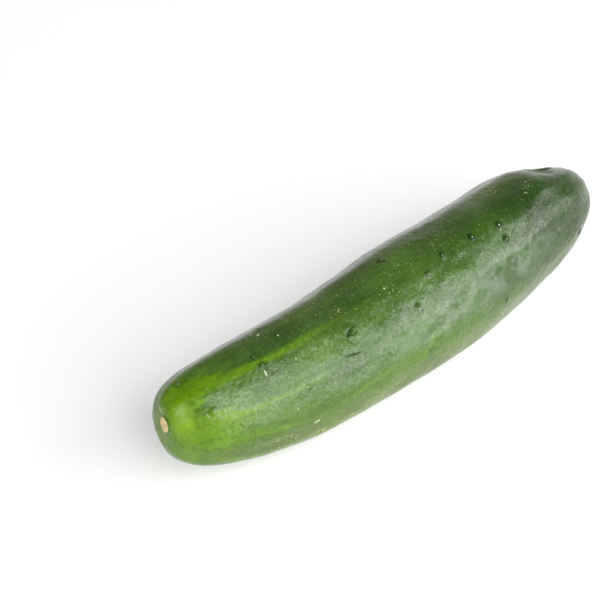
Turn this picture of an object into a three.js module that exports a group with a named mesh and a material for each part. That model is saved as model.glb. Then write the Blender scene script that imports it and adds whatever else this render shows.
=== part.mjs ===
// A slicing cucumber, picked and lying on its side: one closed solid that grew as one piece.
//
// Millimetres, +Z up. The blossom end is at -X and the stem end at +X. The fruit bows toward -Y, and
// its underside is pressed flat where it rests. The origin is at the bottom centre of its box.
//
// A place on the skin is given by how far it is along the spine from the blossom end, and by its
// angle round the spine: 0 degrees faces +Y, 90 faces up, 180 faces -Y and 270 faces down.

import * as THREE from 'three';

const { clamp, degToRad, smoothstep } = THREE.MathUtils;
const UP = new THREE.Vector3(0, 0, 1);
const FULL_TURN = 2 * Math.PI;

// ---- Driving sizes: millimetres, and degrees where an angle is written -----------------------------

const LENGTH = 213; // straight from tip to tip
const BOW = degToRad(25.3); // how far the heading turns from one tip to the other
const GIRTH_RADII = [16.4, 21.6, 23.2, 25, 24, 21.9, 21.8]; // at equal steps, blossom end first
const BLOSSOM_CAP = { length: 23, bluntness: 2.9 };
const STEM_CAP = { length: 50, bluntness: 2.3 };

// The section is a rounded triangle with one flatter side down, and ten faint ridges run along it.
const LOBES = { count: 3, share: 0.02, crest: degToRad(90) };
const RIDGES = { count: 10, height: 0.18, crest: degToRad(105) };

// Long waves keep the sides from being even. along is in waves from tip to tip, around in waves a turn.
const SWELLS = [
  { along: 2.3, around: 1, phase: 0.15, height: 0.26 },
  { along: 3.7, around: 2, phase: 4.5, height: 0.14 },
  { along: 5.2, around: 3, phase: 5.3, height: 0.1 },
];

// The spine is level over the rest, given in shares of the length, and the skin is flat that deep.
const REST = { from: 0.32, to: 0.72, depth: 0.5 };

// The round corky scar of the flower, a low step a little off the tip, in a shallow dimple.
const BLOSSOM_SCAR = { along: 0.35, angle: 122, radius: 3.4, step: 0.35, edge: 0.6 };
const BLOSSOM_DIMPLE = { along: 0.06, angle: 122, radius: 9, depth: 0.9 };

// The pit that the stem broke out of, with a soft rim round it and the corky end of the stem's core at
// its bottom. The stem end is flattened round about it.
const STEM_PIT = {
  along: 196,
  angle: 66,
  radius: 7,
  depth: 2.6,
  rim: { width: 2, height: 0.3 },
  core: { radius: 2.6, step: 0.7 },
};
const STEM_FLAT = { along: 200, angle: 62, radius: 25, depth: 3.1 };

// The warts that stand where a spine grew: millimetres along, degrees round, radius and height.
const NEAR_SIDE_WARTS = [
  [9, 80, 1.7, 0.25],
  [15, 135, 2.2, 0.2],
  [35, 100, 1.6, 0.2],
  [36, 111, 1.7, 0.2],
  [48, 147, 1.7, 0.2],
  [71, 117, 2.6, 0.5],
  [71, 125, 2.4, 0.4],
  [82, 157, 1.7, 0.2],
  [89, 145, 2.0, 0.25],
  [98, 136, 2.5, 0.4],
  [98, 176, 1.9, 0.25],
  [100, 80, 1.9, 0.3],
  [109, 116, 2.0, 0.3],
  [119, 109, 1.9, 0.3],
  [135, 110, 1.9, 0.35],
  [138, 179, 1.9, 0.3],
  [147, 151, 2.2, 0.3],
  [148, 128, 2.1, 0.4],
  [149, 114, 2.1, 0.4],
  [176, 160, 2.0, 0.25],
  [190, 185, 2.2, 0.45],
];

// Round the rest of the fruit the warts stand in rows along it, each a little off its own row.
const WART_ROWS = {
  count: 5,
  first: 234,
  step: 37,
  start: 14,
  end: 192,
  spacing: 32,
  sway: 7,
  radius: [1.7, 2.2],
  height: [0.25, 0.42],
  clearance: 3,
  seed: 20011,
};

// The mesh: the plain skin's rows and columns, and the longest edge that a mark on the skin allows.
const SKIN_ROWS = 54;
const SKIN_COLUMNS = 36;
const MARK_EDGE = 1.6;
const EDGE_GROWTH = 0.9; // how much longer an edge may be for each millimetre away from a mark
const SPLIT_PASSES = 4;

const SKIN = { color: 0x2f5c22, roughness: 0.38, metalness: 0 };

// ---- The body: a bowed spine with a round-ended outline turned about it ----------------------------

const girth = new THREE.SplineCurve(GIRTH_RADII.map((radius, index) => new THREE.Vector2(index, radius)));

// Closes an end: 0 at the tip, rising to 1 where the cap meets the body.
function roundedOff(gap, cap) {
  const inside = clamp(1 - gap / cap.length, 0, 1);
  return (1 - inside ** cap.bluntness) ** (1 / cap.bluntness);
}

function radiusAt(along) {
  const open = girth.getPoint(along / LENGTH).y;
  return open * roundedOff(along, BLOSSOM_CAP) * roundedOff(LENGTH - along, STEM_CAP);
}

// Half the outline of the straightened fruit: x runs from tip to tip, and y is the radius.
class HalfOutline extends THREE.Curve {
  getPoint(t, target = new THREE.Vector2()) {
    const along = (LENGTH * (1 - Math.cos(Math.PI * t))) / 2;
    return target.set(along, radiusAt(along));
  }
}

const outline = new HalfOutline();
outline.arcLengthDivisions = 1000;

// The spine's middle point, its heading and the direction to its left, +Y, at a share of the length.
function spineAt(share) {
  const underside = girth.getPoint(clamp(share, REST.from, REST.to)).y * (1 - LOBES.share);
  const heading = new THREE.Vector3(1, BOW * (1 / 3 - (1 - share) ** 2), 0).normalize();
  return {
    middle: new THREE.Vector3(
      LENGTH * (share - 0.5),
      ((LENGTH * BOW) / 3) * (share + (1 - share) ** 3 - 1),
      underside - REST.depth,
    ),
    heading,
    left: new THREE.Vector3(-heading.y, heading.x, 0),
  };
}

// The smooth body's point for a point of the half outline and an angle round the spine.
function bodyPoint(outlinePoint, angle) {
  const { middle, left } = spineAt(outlinePoint.x / LENGTH);
  const radius = outlinePoint.y * (1 + LOBES.share * Math.cos(LOBES.count * (angle - LOBES.crest)));
  middle.addScaledVector(left, radius * Math.cos(angle));
  return middle.addScaledVector(UP, radius * Math.sin(angle));
}

// The smooth body's outward direction. reach runs evenly along the half outline, from 0 to 1.
function bodyNormal(reach, angle) {
  if (reach === 0) return spineAt(0).heading.negate();
  if (reach === 1) return spineAt(1).heading;
  const small = 1e-4;
  const here = outline.getPointAt(reach);
  const onward = bodyPoint(outline.getPointAt(Math.min(reach + small, 1)), angle);
  const back = bodyPoint(outline.getPointAt(Math.max(reach - small, 0)), angle);
  const round = bodyPoint(here, angle + small).sub(bodyPoint(here, angle - small));
  return round.cross(onward.sub(back)).normalize();
}

// ---- Marks: what stands out of the skin or sinks into it -------------------------------------------

// 1 in the middle, falling smoothly to 0 at the edge.
function mound(distance, radius) {
  return Math.abs(distance) < radius ? (1 - (distance / radius) ** 2) ** 2 : 0;
}

// 1 within the radius and 0 outside it, over an edge of the given width.
function disc(distance, radius, edge) {
  return 1 - smoothstep(distance, radius - edge / 2, radius + edge / 2);
}

function pointOnBody(along, degrees) {
  return bodyPoint(new THREE.Vector2(along, radiusAt(along)), degToRad(degrees));
}

function wart([along, degrees, radius, height]) {
  return {
    centre: pointOnBody(along, degrees),
    radius,
    lift: (distance) => height * mound(distance, radius),
  };
}

function blossomScar() {
  const { along, angle, radius, step, edge } = BLOSSOM_SCAR;
  return {
    centre: pointOnBody(along, angle),
    radius: radius + edge,
    lift: (distance) => step * disc(distance, radius, edge),
  };
}

function stemPit() {
  const { along, angle, radius, depth, rim, core } = STEM_PIT;
  return {
    centre: pointOnBody(along, angle),
    radius: radius + rim.width,
    lift: (distance) =>
      rim.height * mound(distance - radius, rim.width) +
      core.step * disc(distance, core.radius, 1) -
      depth * mound(distance, radius),
  };
}

function hollow({ along, angle, radius, depth }) {
  return {
    centre: pointOnBody(along, angle),
    radius,
    lift: (distance) => -depth * mound(distance, radius),
  };
}

// A repeatable draw between 0 and 1 (the Park-Miller generator).
function diceFrom(seed) {
  let state = seed;
  return () => {
    state = (state * 48271) % 2147483647;
    return state / 2147483647;
  };
}

function wartsInRows() {
  const { count, first, step, start, end, spacing, sway, radius, height, clearance, seed } = WART_ROWS;
  const dice = diceFrom(seed);
  const between = ([low, high]) => low + (high - low) * dice();
  const warts = [];
  for (let row = 0; row < count; row += 1) {
    for (let along = start + spacing * dice(); along < end; along += spacing * (0.7 + 0.6 * dice())) {
      const degrees = first + step * row + sway * (2 * dice() - 1);
      warts.push([along, degrees, between(radius), between(height)]);
    }
  }
  // None stands where the fruit rests, or on the rim of the stem pit.
  const pit = stemPit();
  return warts.filter(([along, degrees, wartRadius]) => {
    const centre = pointOnBody(along, degrees);
    return centre.z > clearance && centre.distanceTo(pit.centre) > pit.radius + wartRadius;
  });
}

// The even net is fine enough for the wide marks, but not for the small ones.
const wideMarks = [hollow(STEM_FLAT), hollow(BLOSSOM_DIMPLE)];
const smallMarks = [blossomScar(), stemPit(), ...NEAR_SIDE_WARTS.map(wart), ...wartsInRows().map(wart)];
const marks = [...wideMarks, ...smallMarks];

// ---- The skin: the body with its ridges, swells and marks, pressed flat where it rests --------------

const widest = Math.max(...GIRTH_RADII);

function waviness(share, angle) {
  const ridges = RIDGES.height * Math.cos(RIDGES.count * (angle - RIDGES.crest));
  const swells = SWELLS.map(({ along, around, phase, height }) => {
    return height * Math.cos(FULL_TURN * along * share + around * angle + phase);
  });
  return swells.reduce((sum, swell) => sum + swell, ridges);
}

function skinPoint({ reach, angle }) {
  const outlinePoint = outline.getPointAt(reach);
  const body = bodyPoint(outlinePoint, angle);
  const fade = smoothstep(outlinePoint.y / widest, 0, 0.7);
  let lift = fade * waviness(outlinePoint.x / LENGTH, angle);
  marks.forEach((mark) => {
    lift += mark.lift(body.distanceTo(mark.centre));
  });
  const point = body.addScaledVector(bodyNormal(reach, angle), lift);
  point.z = Math.max(point.z, 0);
  return point;
}

// ---- The mesh: an even net over the skin, with its edges split where the marks need finer ones ------

// Places are { reach, angle } pairs, and triangles hold three indices into them, seen anticlockwise
// from outside.
function evenNet(rows, columns) {
  const places = [{ reach: 0, angle: 0 }];
  for (let row = 1; row < rows; row += 1) {
    for (let column = 0; column < columns; column += 1) {
      places.push({ reach: row / rows, angle: (FULL_TURN * (column + (row % 2) / 2)) / columns });
    }
  }
  places.push({ reach: 1, angle: 0 });

  const at = (row, column) => 1 + (row - 1) * columns + ((column + columns) % columns);
  const triangles = [];
  for (let column = 0; column < columns; column += 1) {
    triangles.push([0, at(1, column + 1), at(1, column)]);
    for (let row = 1; row < rows - 1; row += 1) {
      const [a, b] = [at(row, column), at(row, column + 1)];
      const [c, d] = [at(row + 1, column), at(row + 1, column + 1)];
      // Every second row is half a column further round, so the short diagonal changes sides.
      if (row % 2) triangles.push([a, d, c], [a, b, d]);
      else triangles.push([a, b, c], [b, d, c]);
    }
    triangles.push([places.length - 1, at(rows - 1, column), at(rows - 1, column + 1)]);
  }
  return { places, triangles };
}

// The place half way between two places, the short way round. A tip has no angle of its own.
function placeBetween(first, second) {
  const isTip = ({ reach }) => reach === 0 || reach === 1;
  const reach = (first.reach + second.reach) / 2;
  if (isTip(first)) return { reach, angle: second.angle };
  if (isTip(second)) return { reach, angle: first.angle };
  const turn = second.angle - first.angle;
  const shortTurn = turn - FULL_TURN * Math.round(turn / FULL_TURN);
  return { reach, angle: first.angle + shortTurn / 2 };
}

function longestEdgeAllowed(point) {
  const gaps = smallMarks.map((mark) => point.distanceTo(mark.centre) - mark.radius);
  return MARK_EDGE + EDGE_GROWTH * Math.max(0, Math.min(...gaps));
}

// Cuts a triangle at the middles of its edges ab, bc and ca. A middle that is undefined isn't cut.
function cutTriangle([a, b, c], [ab, bc, ca], distance) {
  const cuts = [ab, bc, ca].filter((middle) => middle !== undefined).length;
  if (cuts === 0) return [[a, b, c]];
  if (cuts === 3) return [[a, ab, ca], [ab, b, bc], [ca, bc, c], [ab, bc, ca]];
  const startsHere = cuts === 1 ? ab !== undefined : ca === undefined;
  if (!startsHere) return cutTriangle([b, c, a], [bc, ca, ab], distance);
  if (cuts === 1) return [[a, ab, c], [ab, b, c]];
  const rest = distance(a, bc) < distance(ab, c) ? [[a, ab, bc], [a, bc, c]] : [[a, ab, c], [ab, bc, c]];
  return [[ab, b, bc], ...rest];
}

// Splits each edge that is longer than its middle allows, in every triangle that shares it.
function splitOnce({ places, triangles }) {
  const points = places.map(skinPoint);
  const middles = new Map();
  const middleOf = (a, b) => {
    const key = a < b ? `${a},${b}` : `${b},${a}`;
    if (!middles.has(key)) {
      const centre = points[a].clone().add(points[b]).divideScalar(2);
      const tooLong = points[a].distanceTo(points[b]) > longestEdgeAllowed(centre);
      middles.set(key, tooLong ? places.push(placeBetween(places[a], places[b])) - 1 : undefined);
      if (tooLong) points.push(skinPoint(places.at(-1)));
    }
    return middles.get(key);
  };
  const distance = (a, b) => points[a].distanceTo(points[b]);
  return {
    places,
    triangles: triangles.flatMap(([a, b, c]) =>
      cutTriangle([a, b, c], [middleOf(a, b), middleOf(b, c), middleOf(c, a)], distance),
    ),
  };
}

function skinGeometry() {
  let net = evenNet(SKIN_ROWS, SKIN_COLUMNS);
  for (let pass = 0; pass < SPLIT_PASSES; pass += 1) net = splitOnce(net);
  const geometry = new THREE.BufferGeometry();
  geometry.setFromPoints(net.places.map(skinPoint));
  geometry.setIndex(net.triangles.flat());
  geometry.computeVertexNormals();
  geometry.computeBoundingBox();
  return geometry;
}

// ---- The part ---------------------------------------------------------------------------------------

function makeCucumber() {
  const geometry = skinGeometry();
  const cucumber = new THREE.Mesh(geometry, new THREE.MeshStandardMaterial(SKIN));
  cucumber.name = 'cucumber';
  const centre = geometry.boundingBox.getCenter(new THREE.Vector3());
  cucumber.position.set(-centre.x, -centre.y, -geometry.boundingBox.min.z);
  return cucumber;
}

const part = new THREE.Group();
part.add(makeCucumber());

export default part;
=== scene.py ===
"""The looks of a slicing cucumber that lies on its side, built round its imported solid.

A place on the skin is given in the fruit's own terms: how far it is along the spine from the
blossom end, in millimetres, and its angle round the spine in degrees, where 0 faces +Y, 90 faces
up, 180 faces -Y and 270 faces down. The skin grows by one formula, with the warts, the blossom
scar and the stem pit as marks on it, and everything else is laid on that skin.
"""

import logging
import math
from dataclasses import dataclass, field
from enum import Enum
from typing import Any, Callable, Iterable, Iterator

import bmesh
import bpy
import numpy as np
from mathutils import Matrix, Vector
from mathutils.bvhtree import BVHTree


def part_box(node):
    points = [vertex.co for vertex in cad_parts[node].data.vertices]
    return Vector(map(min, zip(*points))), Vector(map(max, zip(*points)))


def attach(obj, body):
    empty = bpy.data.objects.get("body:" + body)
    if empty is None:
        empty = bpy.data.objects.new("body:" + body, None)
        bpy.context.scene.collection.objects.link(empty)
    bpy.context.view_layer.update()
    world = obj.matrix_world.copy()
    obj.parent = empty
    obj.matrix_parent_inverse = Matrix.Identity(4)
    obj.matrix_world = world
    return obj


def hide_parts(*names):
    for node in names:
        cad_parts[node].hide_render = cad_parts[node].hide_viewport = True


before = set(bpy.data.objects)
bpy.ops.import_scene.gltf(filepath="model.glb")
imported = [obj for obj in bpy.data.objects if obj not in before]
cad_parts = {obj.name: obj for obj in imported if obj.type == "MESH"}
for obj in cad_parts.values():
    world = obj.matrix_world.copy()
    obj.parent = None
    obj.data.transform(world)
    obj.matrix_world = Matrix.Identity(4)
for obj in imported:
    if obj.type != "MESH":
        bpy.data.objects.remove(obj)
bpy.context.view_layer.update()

LOG = logging.getLogger("cucumber")
MM = 0.001
TURN = 2 * math.pi
UP = np.array([0.0, 0.0, 1.0])
BODY = "root"
CAD_NODE = "cucumber"


class Slot(Enum):
    """The material slots."""

    SKIN = "skin"
    CORK = "cork"


class Bark(Enum):
    """What a chip on the skin is made of: it picks the chip's finish and names its piece."""

    CORK = "tan_scuffs"
    DRY_SKIN = "pale_scuffs"
    DRY_WAX = "white_scuffs"


# ---- Numbers -------------------------------------------------------------------------------------


def smoothstep(value: np.ndarray, low: float, high: float) -> np.ndarray:
    """Return 0 below low, 1 above high and a smooth rise between them."""
    share = np.clip((value - low) / (high - low), 0, 1)
    return share * share * (3 - 2 * share)


def mound(distance: np.ndarray, radius: float) -> np.ndarray:
    """Return 1 in the middle, falling smoothly to 0 at the radius."""
    return np.where(np.abs(distance) < radius, (1 - (distance / radius) ** 2) ** 2, 0)


def disc(distance: np.ndarray, radius: float, edge: float) -> np.ndarray:
    """Return 1 within the radius and 0 outside it, over an edge of the given width."""
    return 1 - smoothstep(distance, radius - edge / 2, radius + edge / 2)


def bell(distance: np.ndarray, width: float) -> np.ndarray:
    """Return 1 in the middle, falling along a bell curve to both sides."""
    return np.exp(-((distance / width) ** 2))


def turned_by(degrees: np.ndarray, middle: float | np.ndarray) -> np.ndarray:
    """Return how far angles are past another, from -180 to 180 degrees."""
    return (degrees - middle + 180) % 360 - 180


def dice_from(seed: int) -> Callable[[], float]:
    """Make a repeatable draw (the Park-Miller generator).

    Args:
        seed: Where the draws start.

    Returns:
        A function that draws a number between 0 and 1.
    """
    state = seed
    factor, modulus = 48271, 2147483647

    def draw() -> float:
        """Draw the next number.

        Returns:
            A number between 0 and 1.
        """
        nonlocal state
        state = (state * factor) % modulus
        return state / modulus

    return draw


# ---- The fruit's form ----------------------------------------------------------------------------


@dataclass(frozen=True)
class Cap:
    """How an end closes: over what length, in millimetres, and how bluntly."""

    length: float
    bluntness: float

    def share(self, gap: np.ndarray) -> np.ndarray:
        """Return 0 at the tip, rising to 1 where the cap meets the body."""
        inside = np.clip(1 - gap / self.length, 0, 1)
        return (1 - inside**self.bluntness) ** (1 / self.bluntness)


@dataclass(frozen=True)
class Swell:
    """A long wave that keeps the sides from being even."""

    along: float
    around: int
    phase: float
    height: float


@dataclass(frozen=True)
class Mark:
    """A round mark on the skin, in millimetres, with its angle round the spine in degrees."""

    along: float
    angle: float
    radius: float


@dataclass(frozen=True)
class Wart(Mark):
    """A wart that stood under a spine. Its dry tip has the radius tip, or 0 where none is left.

    Its shade says how dark the ring round it is, from 0 to 1: partly darker skin, partly painted
    shade on the side turned from the light.
    """

    height: float
    tip: float = 0.0
    shade: float = 0.7


@dataclass(frozen=True)
class Hollow(Mark):
    """A shallow round hollow."""

    depth: float


@dataclass(frozen=True)
class WartRows:
    """The rule that places warts in rows along the side that faces away."""

    count: int = 5
    first: float = 234.0
    step: float = 37.0
    start: float = 14.0
    end: float = 192.0
    spacing: float = 32.0
    sway: float = 7.0
    radius: tuple[float, float] = (1.7, 2.2)
    height: tuple[float, float] = (0.25, 0.42)
    least_gap: float = 0.7
    more_gap: float = 0.6
    tip: float = 0.16
    tip_step: float = 0.06
    tip_kinds: int = 4
    clearance: float = 3.0
    seed: int = 20011

    def places(self) -> Iterator[tuple[float, float, float, float]]:
        """Place the warts, row by row.

        Yields:
            Each wart's distance along, angle, radius and height.
        """
        dice = dice_from(self.seed)
        for row in range(self.count):
            along = self.start + self.spacing * dice()
            while along < self.end:
                angle = self.first + self.step * row + self.sway * (2 * dice() - 1)
                radius = self.radius[0] + (self.radius[1] - self.radius[0]) * dice()
                height = self.height[0] + (self.height[1] - self.height[0]) * dice()
                yield along, angle, radius, height
                along += self.spacing * (self.least_gap + self.more_gap * dice())


# The last number of each wart is how dark its ring of painted shade is.
NEAR_WARTS = (
    Wart(9, 80, 1.7, 0.25, 0.18, 0.5),
    Wart(15, 135, 2.2, 0.2, 0, 0.15),
    Wart(35, 100, 1.6, 0.2, 0.16, 0.4),
    Wart(36, 111, 1.7, 0.2, 0.14, 0.6),
    Wart(48, 147, 1.7, 0.2, 0.22, 0.3),
    Wart(71, 117, 2.6, 0.5, 0, 0.1),
    Wart(71, 125, 2.4, 0.4, 0, 0.1),
    Wart(82, 157, 1.7, 0.2, 0.2, 0.25),
    Wart(89, 145, 2.0, 0.25, 0.18, 0.2),
    Wart(98, 136, 2.5, 0.4, 0.22, 0.35),
    Wart(98, 176, 1.9, 0.25, 0, 0.3),
    Wart(100, 80, 1.9, 0.3, 0.2, 0.7),
    Wart(109, 116, 2.0, 0.3, 0.18, 0.5),
    Wart(119, 109, 1.9, 0.3, 0.2, 0.8),
    Wart(135, 110, 1.9, 0.35, 0.28, 0.9),
    Wart(138, 179, 1.9, 0.3, 0, 0.3),
    Wart(147, 151, 2.2, 0.3, 0, 0.35),
    Wart(148, 128, 2.1, 0.4, 0.26, 0.9),
    Wart(149, 114, 2.1, 0.4, 0.34, 1.0),
    Wart(176, 160, 2.0, 0.25, 0, 0.3),
    Wart(190, 185, 2.2, 0.45, 0, 0.0),
)


@dataclass(frozen=True)
class BlossomScar(Mark):
    """The round corky scar of the flower: a low step a little off the tip."""

    step: float = 0.35
    edge: float = 0.6


@dataclass(frozen=True)
class StemPit(Mark):
    """The pit that the stem broke out of, with a soft rim and the corky end of the stem's core."""

    depth: float = 2.6
    rim_width: float = 2.0
    rim_height: float = 0.3
    core_radius: float = 2.6
    core_step: float = 0.7
    core_edge: float = 1.0


@dataclass(frozen=True)
class Form:
    """The fruit's sizes, in millimetres and radians, and the formula that its skin grows by."""

    length: float = 213.0
    bow: float = math.radians(25.3)
    girth_radii: tuple[float, ...] = (16.4, 21.6, 23.2, 25, 24, 21.9, 21.8)
    blossom_cap: Cap = Cap(23, 2.9)
    stem_cap: Cap = Cap(50, 2.3)
    lobe_count: int = 3
    lobe_share: float = 0.02
    lobe_crest: float = math.radians(90)
    ridge_count: int = 10
    ridge_height: float = 0.18
    ridge_crest: float = math.radians(105)
    swells: tuple[Swell, ...] = (
        Swell(2.3, 1, 0.15, 0.26),
        Swell(3.7, 2, 4.5, 0.14),
        Swell(5.2, 3, 5.3, 0.1),
    )
    rest_from: float = 0.32
    rest_to: float = 0.72
    rest_depth: float = 0.5
    scar: BlossomScar = BlossomScar(0.35, 122, 3.4)
    dimple: Hollow = Hollow(0.06, 122, 9, 0.9)
    pit: StemPit = StemPit(196, 66, 7)
    stem_flat: Hollow = Hollow(200, 62, 25, 3.1)
    rows: WartRows = WartRows()

    def girth(self, share: np.ndarray) -> np.ndarray:
        """Work out the open body's radius: a smooth curve through girth_radii.

        Args:
            share: Places as shares of the length.

        Returns:
            The radius at each.
        """
        knots = np.asarray(self.girth_radii)
        spans = len(knots) - 1
        place = np.clip(share, 0, 1) * spans
        first = np.minimum(place.astype(int), spans - 1)
        t = place - first
        padded = np.concatenate([knots[:1], knots, knots[-1:]])
        before, start, end, after = (padded[first + k] for k in range(4))
        leaving, arriving = (end - before) / 2, (after - start) / 2
        cubic = 2 * start - 2 * end + leaving + arriving
        square = -3 * start + 3 * end - 2 * leaving - arriving
        return ((cubic * t + square) * t + leaving) * t + start

    def radius_at(self, along: np.ndarray) -> np.ndarray:
        """Return the body's radius at a distance along the spine."""
        caps = self.blossom_cap.share(along) * self.stem_cap.share(self.length - along)
        return self.girth(along / self.length) * caps

    def spine(self, along: np.ndarray) -> tuple[np.ndarray, np.ndarray, np.ndarray]:
        """Follow the spine.

        Args:
            along: Distances along it.

        Returns:
            Its points there, its headings and the directions to its left.
        """
        share = along / self.length
        resting = self.girth(np.clip(share, self.rest_from, self.rest_to)) * (1 - self.lobe_share)
        sideways = self.length * self.bow / 3 * (share + (1 - share) ** 3 - 1)
        middle = np.stack([self.length * (share - 0.5), sideways, resting - self.rest_depth], -1)
        turn = self.bow * (1 / 3 - (1 - share) ** 2)
        heading = np.stack([np.ones_like(turn), turn, np.zeros_like(turn)], -1)
        heading /= np.linalg.norm(heading, axis=-1, keepdims=True)
        left = np.stack([-heading[..., 1], heading[..., 0], np.zeros_like(turn)], -1)
        return middle, heading, left

    def body(self, t: np.ndarray, angle: np.ndarray) -> np.ndarray:
        """Lay places on the smooth body.

        Args:
            t: Each place along the half outline, from 0 to 1.
            angle: Its angle round the spine, in radians.

        Returns:
            The points.
        """
        along = self.along_at(t)
        middle, _, left = self.spine(along)
        lobes = 1 + self.lobe_share * np.cos(self.lobe_count * (angle - self.lobe_crest))
        radius = (self.radius_at(along) * lobes)[..., None]
        return middle + radius * (np.cos(angle)[..., None] * left + np.sin(angle)[..., None] * UP)

    def body_normal(self, t: np.ndarray, angle: np.ndarray) -> np.ndarray:
        """Find the smooth body's outward directions, from short steps to both sides.

        Args:
            t: Each place along the half outline, from 0 to 1.
            angle: Its angle round the spine, in radians.

        Returns:
            The directions. At a tip, where the steps meet, it is the spine's own.
        """
        step, least = 1e-4, 1e-12
        ahead, behind = np.minimum(t + step, 1), np.maximum(t - step, 0)
        onward = self.body(ahead, angle) - self.body(behind, angle)
        sideways = self.body(t, angle + step) - self.body(t, angle - step)
        normal = np.cross(sideways, onward)
        size = np.linalg.norm(normal, axis=-1, keepdims=True)
        _, heading, _ = self.spine(self.along_at(t))
        tip = heading * np.where(t < 0.5, -1, 1)[..., None]
        return np.where(size > least, normal / np.maximum(size, least), tip)

    def outline(self, samples: int = 6001) -> tuple[np.ndarray, np.ndarray]:
        """Measure the half outline.

        Args:
            samples: How many points it is measured at.

        Returns:
            Even values of t, and the outline's length up to each in millimetres.
        """
        t = np.linspace(0, 1, samples)
        along = self.along_at(t)
        steps = np.hypot(np.diff(along), np.diff(self.radius_at(along)))
        return t, np.concatenate([[0], np.cumsum(steps)])

    def along_at(self, t: np.ndarray) -> np.ndarray:
        """Return the distance along the spine for t, which moves slowly near the tips."""
        return self.length * (1 - np.cos(math.pi * t)) / 2

    def parameter(self, along: float | np.ndarray) -> np.ndarray:
        """Return t for a distance along the spine."""
        return np.arccos(np.clip(1 - 2 * np.asarray(along, float) / self.length, -1, 1)) / math.pi

    def place(self, mark: Mark) -> np.ndarray:
        """Return a mark's centre on the smooth body."""
        return self.body(self.parameter([mark.along]), np.radians([mark.angle]))[0]

    def warts(self) -> list[Wart]:
        """Gather every wart. The rule leaves out those in the pit or too near the floor.

        Returns:
            The warts, those on the side that faces the light first.
        """
        found = list(NEAR_WARTS)
        pit = self.place(self.pit)
        for order, (along, angle, radius, height) in enumerate(self.rows.places()):
            tip = self.rows.tip + self.rows.tip_step * (order % self.rows.tip_kinds)
            wart = Wart(along, angle, radius, height, tip)
            centre = self.place(wart)
            clear_of_pit = np.linalg.norm(centre - pit) > self.pit.radius + radius
            if centre[2] > self.rows.clearance and clear_of_pit:
                found.append(wart)
        return found

    def waviness(self, along: np.ndarray, angle: np.ndarray) -> np.ndarray:
        """Work out the ridges and the swells.

        Args:
            along: Each place's distance along the spine.
            angle: Its angle round it, in radians.

        Returns:
            Their height at each place.
        """
        height = self.ridge_height * np.cos(self.ridge_count * (angle - self.ridge_crest))
        for swell in self.swells:
            turn = TURN * swell.along * along / self.length + swell.around * angle + swell.phase
            height = height + swell.height * np.cos(turn)
        return height


@dataclass
class Skin:
    """The skin's points in millimetres, with what is known at each.

    Towards the tips the waves and the relief calm down. The relief also does near the floor.
    """

    form: Form
    t: np.ndarray
    angle: np.ndarray
    nipple: float = 0.08
    nipple_radius: float = 0.8
    moat: float = 0.04
    moat_width: float = 0.9
    calm_end: float = 0.7
    floor_margin: tuple[float, float] = (0.1, 2.5)
    tip_margin: tuple[float, float] = (6.0, 22.0)
    tip_relief: float = 0.3
    facts: dict[str, np.ndarray] = field(default_factory=dict)

    def distances(self, smooth: np.ndarray, mark: Mark) -> np.ndarray:
        """Return how far each smooth point is from a mark's centre."""
        return np.linalg.norm(smooth - self.form.place(mark), axis=-1)

    def grow(self) -> np.ndarray:
        """Work out the points, and keep the facts that the finishes read.

        Returns:
            The skin's points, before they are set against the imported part.
        """
        form = self.form
        along = form.along_at(self.t)
        radius = form.radius_at(along)
        smooth = form.body(self.t, self.angle)
        calm = smoothstep(radius / max(form.girth_radii), 0, self.calm_end)
        lift = calm * form.waviness(along, self.angle)
        for hollow in (form.stem_flat, form.dimple):
            lift -= hollow.depth * mound(self.distances(smooth, hollow), hollow.radius)
        to_scar = self.distances(smooth, form.scar)
        lift += form.scar.step * disc(to_scar, form.scar.radius, form.scar.edge)
        to_pit = self.distances(smooth, form.pit)
        lift += form.pit.rim_height * mound(to_pit - form.pit.radius, form.pit.rim_width)
        lift += form.pit.core_step * disc(to_pit, form.pit.core_radius, form.pit.core_edge)
        lift -= form.pit.depth * mound(to_pit, form.pit.radius)
        nearest = np.full(len(self.t), np.inf)
        shade = np.zeros(len(self.t))
        for wart in form.warts():
            distance = self.distances(smooth, wart)
            lift += wart.height * mound(distance, wart.radius)
            if wart.tip:
                lift += self.nipple * mound(distance, self.nipple_radius)
            lift -= self.moat * mound(distance - wart.radius, self.moat_width)
            # How dark the painted shade round the nearest wart is.
            shade = np.where(distance < nearest, wart.shade, shade)
            nearest = np.minimum(nearest, distance)
        points = smooth + form.body_normal(self.t, self.angle) * lift[:, None]
        full = self.tip_relief + (1 - self.tip_relief) * smoothstep(along, *self.tip_margin)
        self.facts = {
            "along": along,
            "free": smoothstep(points[:, 2], *self.floor_margin) * full,
            "wart_reach": nearest,
            "wart_shade": shade,
            "scar_reach": to_scar,
            "pit_reach": to_pit,
        }
        points[:, 2] = np.maximum(points[:, 2], 0)
        return points


# ---- Colour along the skin -----------------------------------------------------------------------


@dataclass(frozen=True)
class Stripe:
    """A pale stripe that runs up the fruit from the blossom end.

    Each point holds a distance along, an angle, half the stripe's width in millimetres and its
    strength from 0 to 1.
    """

    points: tuple[tuple[float, float, float, float], ...]

    def strength(self, along: np.ndarray, angle: np.ndarray, radius: np.ndarray) -> np.ndarray:
        """Return how strongly the stripe shows at places on the skin.

        Args:
            along: Each place's distance along the spine.
            angle: Each place's angle round it, in radians.
            radius: Each place's distance from it.

        Returns:
            A number from 0 to 1 for each place.
        """
        stops, angles, widths, strengths = np.array(self.points).T
        middle = np.interp(along, stops, angles)
        width = np.interp(along, stops, widths)
        shown = np.interp(along, stops, strengths)
        gap = np.radians(turned_by(np.degrees(angle), middle)) * radius / width
        return shown * np.exp(-(gap**4))


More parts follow.
